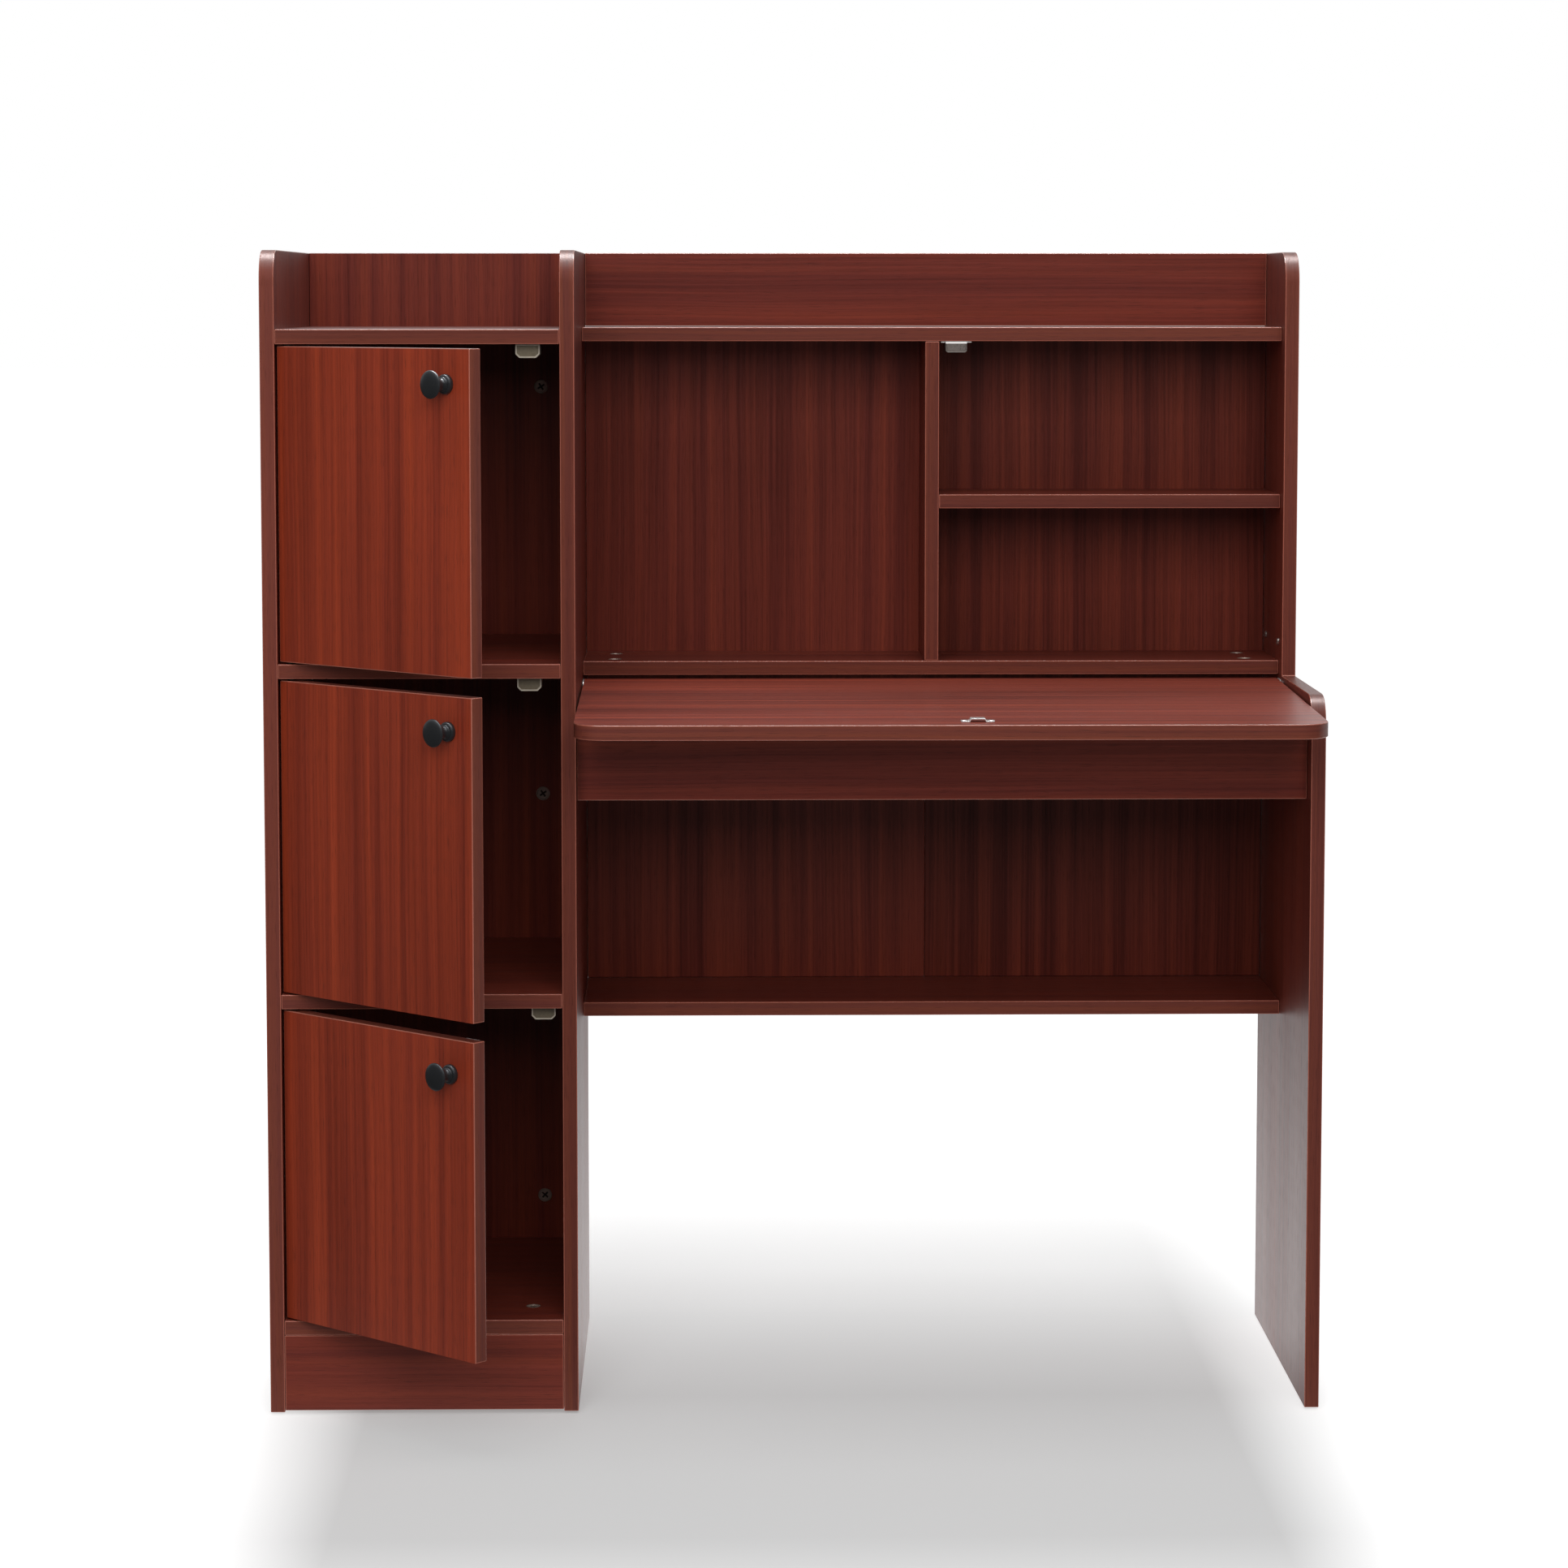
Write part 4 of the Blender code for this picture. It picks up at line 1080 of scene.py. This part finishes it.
class DESK_OT_fittings(bpy.types.Operator):
    """Finish the catches, strike plates, pivots and pins"""

    bl_idname = "desk.fittings"
    bl_label = "Catches, plates and pins"

    def execute(self, context):
        screws = {}
        for level in LEVELS:
            build_catch("door_catch_" + level)
            body = "door_" + level
            screws[body] = build_strike("door_strike_" + level, body, -door_facing(level), sunk=SUNK_HEAD)
        build_leaf_catch("leaf_catch")
        screws["leaf"] = build_bridge("leaf_strike", "leaf", "desktop_leaf")
        screws["carcass"] = []
        for side, facing in (("left", AXES["X"]), ("right", -AXES["X"])):
            screws["carcass"] += build_strike(
                "leaf_pivot_" + side, "carcass", facing, PIVOT_SCREWS, corner=0.0)
        tree = fitting_tree("countersunk screw", COUNTERSUNK_PROFILE, 24, recess=(1.2, 0.26, 0.7, 1.0))
        for body, places in screws.items():
            place_fittings(
                "small_screws_" + body, tree, places, context.scene.desk_fittings.screw_head,
                SMALL_HEAD_HEIGHT, steel(), body)
        for node, place in NODES.items():
            if node.startswith("door_pin_"):
                place.data.materials.clear()
                place.data.materials.append(dull_steel())
        return {"FINISHED"}


# Stage
LIGHTS = {                      # place from the desk's middle and height over the floor; size
    "front": ((0.0, -4.3, 2.7), (3.4, 2.6)),
    "side": ((-2.4, -3.6, 1.8), (1.8, 1.8)),
    "top": ((0.0, -0.8, 3.4), (2.6, 1.6)),
    "back": ((0.0, 4.0, 2.2), (2.4, 2.4)),
    "rim": ((0.0, 0.5, 3.2), (2.4, 0.9)),
}
MIRRORED = ("top", "rim")       # lights that show in gloss
FLOOR_RADIUS = 60.0
PAINTED_SHADOW_INSIDE = 0.1             # where the painted shadow on the floor starts to fade, inside the desk's sides
PAINTED_SHADOW_OUTSIDE = 0.06
SENSOR_WIDTH = 36.0


def build_lights(settings):
    """Large soft lights that look at the desk; some are left out of gloss or of plain light."""
    middle = (CAD_BOX[0] + CAD_BOX[1]) / 2
    for name, (place, size) in LIGHTS.items():
        lamp = bpy.data.lights.new(name + " light", "AREA")
        lamp.shape = "RECTANGLE"
        lamp.size, lamp.size_y = size
        lamp.energy = getattr(settings, name + "_power")
        holder = put(name + " light", lamp)
        holder.location = (middle.x + place[0], middle.y + place[1], place[2])
        holder.rotation_euler = (middle - holder.location).to_track_quat("-Z", "Y").to_euler()
        holder.visible_glossy = name in MIRRORED
        holder.visible_diffuse = name != "rim"


def build_room(settings):
    """Even light of a white room; the room itself shows white."""
    world = bpy.data.worlds.new("white room")
    bpy.context.scene.world = world
    world.use_nodes = True
    tree = world.node_tree
    back = tree.nodes["Background"]
    path = lay(tree, "ShaderNodeLightPath")
    heading = lay(tree, "ShaderNodeTexCoord").outputs["Generated"]
    parts = lay(tree, "ShaderNodeSeparateXYZ", {"Vector": heading}).outputs
    before = ramp_value(tree, parts["Z"], 0.25, 0.8, settings.room_front, 0.9)
    behind = ramp_value(tree, parts["Z"], 0.02, 0.2, 0.3, 1.0)
    backwards = ramp_value(tree, parts["Y"], 0.2, 0.7)
    mirrored = lay(tree, "ShaderNodeMix", {0: backwards, 2: before, 3: behind}).outputs[0]
    mirrored = calculate(tree, "MULTIPLY", mirrored, path.outputs["Is Glossy Ray"])
    shown = calculate(tree, "MAXIMUM", mirrored, path.outputs["Is Camera Ray"])
    even = calculate(tree, "MULTIPLY", path.outputs["Is Diffuse Ray"], settings.room_light)
    strength = calculate(tree, "MAXIMUM", shown, even)
    feed(tree, back, {"Color": (1.0, 1.0, 1.0, 1.0), "Strength": strength})


def build_floor(settings):
    """A wide pale floor with a painted shadow: its glow is dimmed under and near the desk and turns white
    away from it.
    """
    low, high = CAD_BOX
    builder = bmesh.new()
    bmesh.ops.create_circle(builder, cap_ends=True, segments=96, radius=FLOOR_RADIUS)
    mesh = to_mesh("floor", builder)
    floor = put("floor", mesh)
    made, tree, shader = surface("studio floor")
    place = lay(tree, "ShaderNodeTexCoord").outputs["Object"]
    parts = lay(tree, "ShaderNodeSeparateXYZ", {"Vector": place}).outputs
    # Painted shadow of the desk: the floor's glow is dimmed under the desk and fades out past its sides,
    # behind it and before it.
    aside = calculate(tree, "ABSOLUTE", calculate(tree, "SUBTRACT", parts[0], (low.x + high.x) / 2))
    half = (high.x - low.x) / 2
    beside = ramp_value(tree, aside, half - PAINTED_SHADOW_INSIDE, half + PAINTED_SHADOW_OUTSIDE)
    behind = ramp_value(tree, parts[1], 0.05, settings.floor_back)
    before = ramp_value(tree, parts[1], settings.floor_front, -0.45, 1.0, 0.0)
    near = [calculate(tree, "SUBTRACT", 1.0, mask) for mask in (beside, behind, before)]
    shade = calculate(tree, "MULTIPLY", calculate(tree, "MULTIPLY", near[0], near[1]), near[2])
    shade = ramp_value(tree, shade, 0.0, 1.0, 1.0, settings.painted_floor_shadow)
    uneven = lay(tree, "ShaderNodeTexNoise", {"Vector": place, "Scale": 3.0}).outputs[0]
    shade = calculate(tree, "MULTIPLY", shade, ramp_value(tree, uneven, 0.0, 1.0, 0.985, 1.0))
    painted_shadow_glow = lay(tree, "ShaderNodeCombineXYZ", {"X": shade, "Y": shade, "Z": shade}).outputs[0]
    feed(tree, shader, {
        "Base Color": (0.45, 0.45, 0.45, 1.0), "Roughness": 0.9, "Specular IOR Level": 0.0,
        "Emission Color": painted_shadow_glow, "Emission Strength": 1.0})
    mirrored = ramp_value(tree, parts[1], -0.2, 0.3, settings.room_front, 1.3)
    mirrored = calculate(tree, "MULTIPLY", mirrored, ramp_value(tree, parts[1], 0.8, 2.5, 1.0, 0.6))
    mirrored = calculate(
        tree, "MULTIPLY", mirrored, ramp_value(tree, parts[0], low.x - 0.4, low.x, 0.03, 1.0))
    gloss = lay(tree, "ShaderNodeEmission", {"Strength": mirrored})
    even = lay(tree, "ShaderNodeEmission", {"Strength": settings.floor_bounce})
    path = lay(tree, "ShaderNodeLightPath")
    seen = lay(tree, "ShaderNodeMixShader", {
        0: path.outputs["Is Glossy Ray"], 1: shader.outputs[0], 2: gloss.outputs[0]})
    seen = lay(tree, "ShaderNodeMixShader", {
        0: path.outputs["Is Diffuse Ray"], 1: seen.outputs[0], 2: even.outputs[0]})
    tree.links.new(seen.outputs[0], tree.nodes["Material Output"].inputs["Surface"])
    mesh.materials.append(made)


class DESK_OT_stage(bpy.types.Operator):
    """Set the floor, the lights and the camera"""

    bl_idname = "desk.stage"
    bl_label = "Stage"

    def execute(self, context):
        settings = context.scene.desk_stage
        build_room(settings)
        build_floor(settings)
        build_lights(settings)
        camera = bpy.data.cameras.new("camera")
        camera.lens = settings.camera_lens
        camera.sensor_width = SENSOR_WIDTH
        camera.shift_y = settings.camera_rise
        holder = put("camera", camera)
        holder.location = settings.camera_place
        holder.rotation_euler = (math.pi / 2 - settings.camera_pitch, 0.0, -settings.camera_yaw)
        context.scene.camera = holder
        context.scene.view_settings.view_transform = "Standard"
        return {"FINISHED"}


class DESK_PT_panel(bpy.types.Panel):
    """Everything that builds the desk"""

    bl_idname = "DESK_PT_panel"
    bl_label = "Secretary desk"
    bl_space_type = "VIEW_3D"
    bl_region_type = "UI"
    bl_category = "Desk"

    def draw(self, context):
        for operator in OPERATORS:
            self.layout.operator(operator.bl_idname)
        for settings in (context.scene.desk_boards, context.scene.desk_fittings,
                         context.scene.desk_stage):
            column = self.layout.column()
            for name in settings.__annotations__:
                column.prop(settings, name)


OPERATORS = (DESK_OT_carcass, DESK_OT_doors, DESK_OT_desktop, DESK_OT_knobs, DESK_OT_cam_locks,
             DESK_OT_screws, DESK_OT_glides, DESK_OT_fittings, DESK_OT_stage)
SETTINGS = {"desk_boards": DESK_PG_boards, "desk_fittings": DESK_PG_fittings, "desk_stage": DESK_PG_stage}


def register():
    """Make the settings, operators and panel known."""
    for item in (*SETTINGS.values(), *OPERATORS, DESK_PT_panel):
        bpy.utils.register_class(item)
    for name, item in SETTINGS.items():
        setattr(bpy.types.Scene, name, PointerProperty(type=item))


def unregister():
    """Take them away again."""
    for name in SETTINGS:
        delattr(bpy.types.Scene, name)
    for item in reversed((*SETTINGS.values(), *OPERATORS, DESK_PT_panel)):
        bpy.utils.unregister_class(item)


def main():
    """Build every piece and the stage."""
    register()
    for operator in OPERATORS:
        family, name = operator.bl_idname.split(".")
        getattr(getattr(bpy.ops, family), name)()


if __name__ == "__main__":
    main()
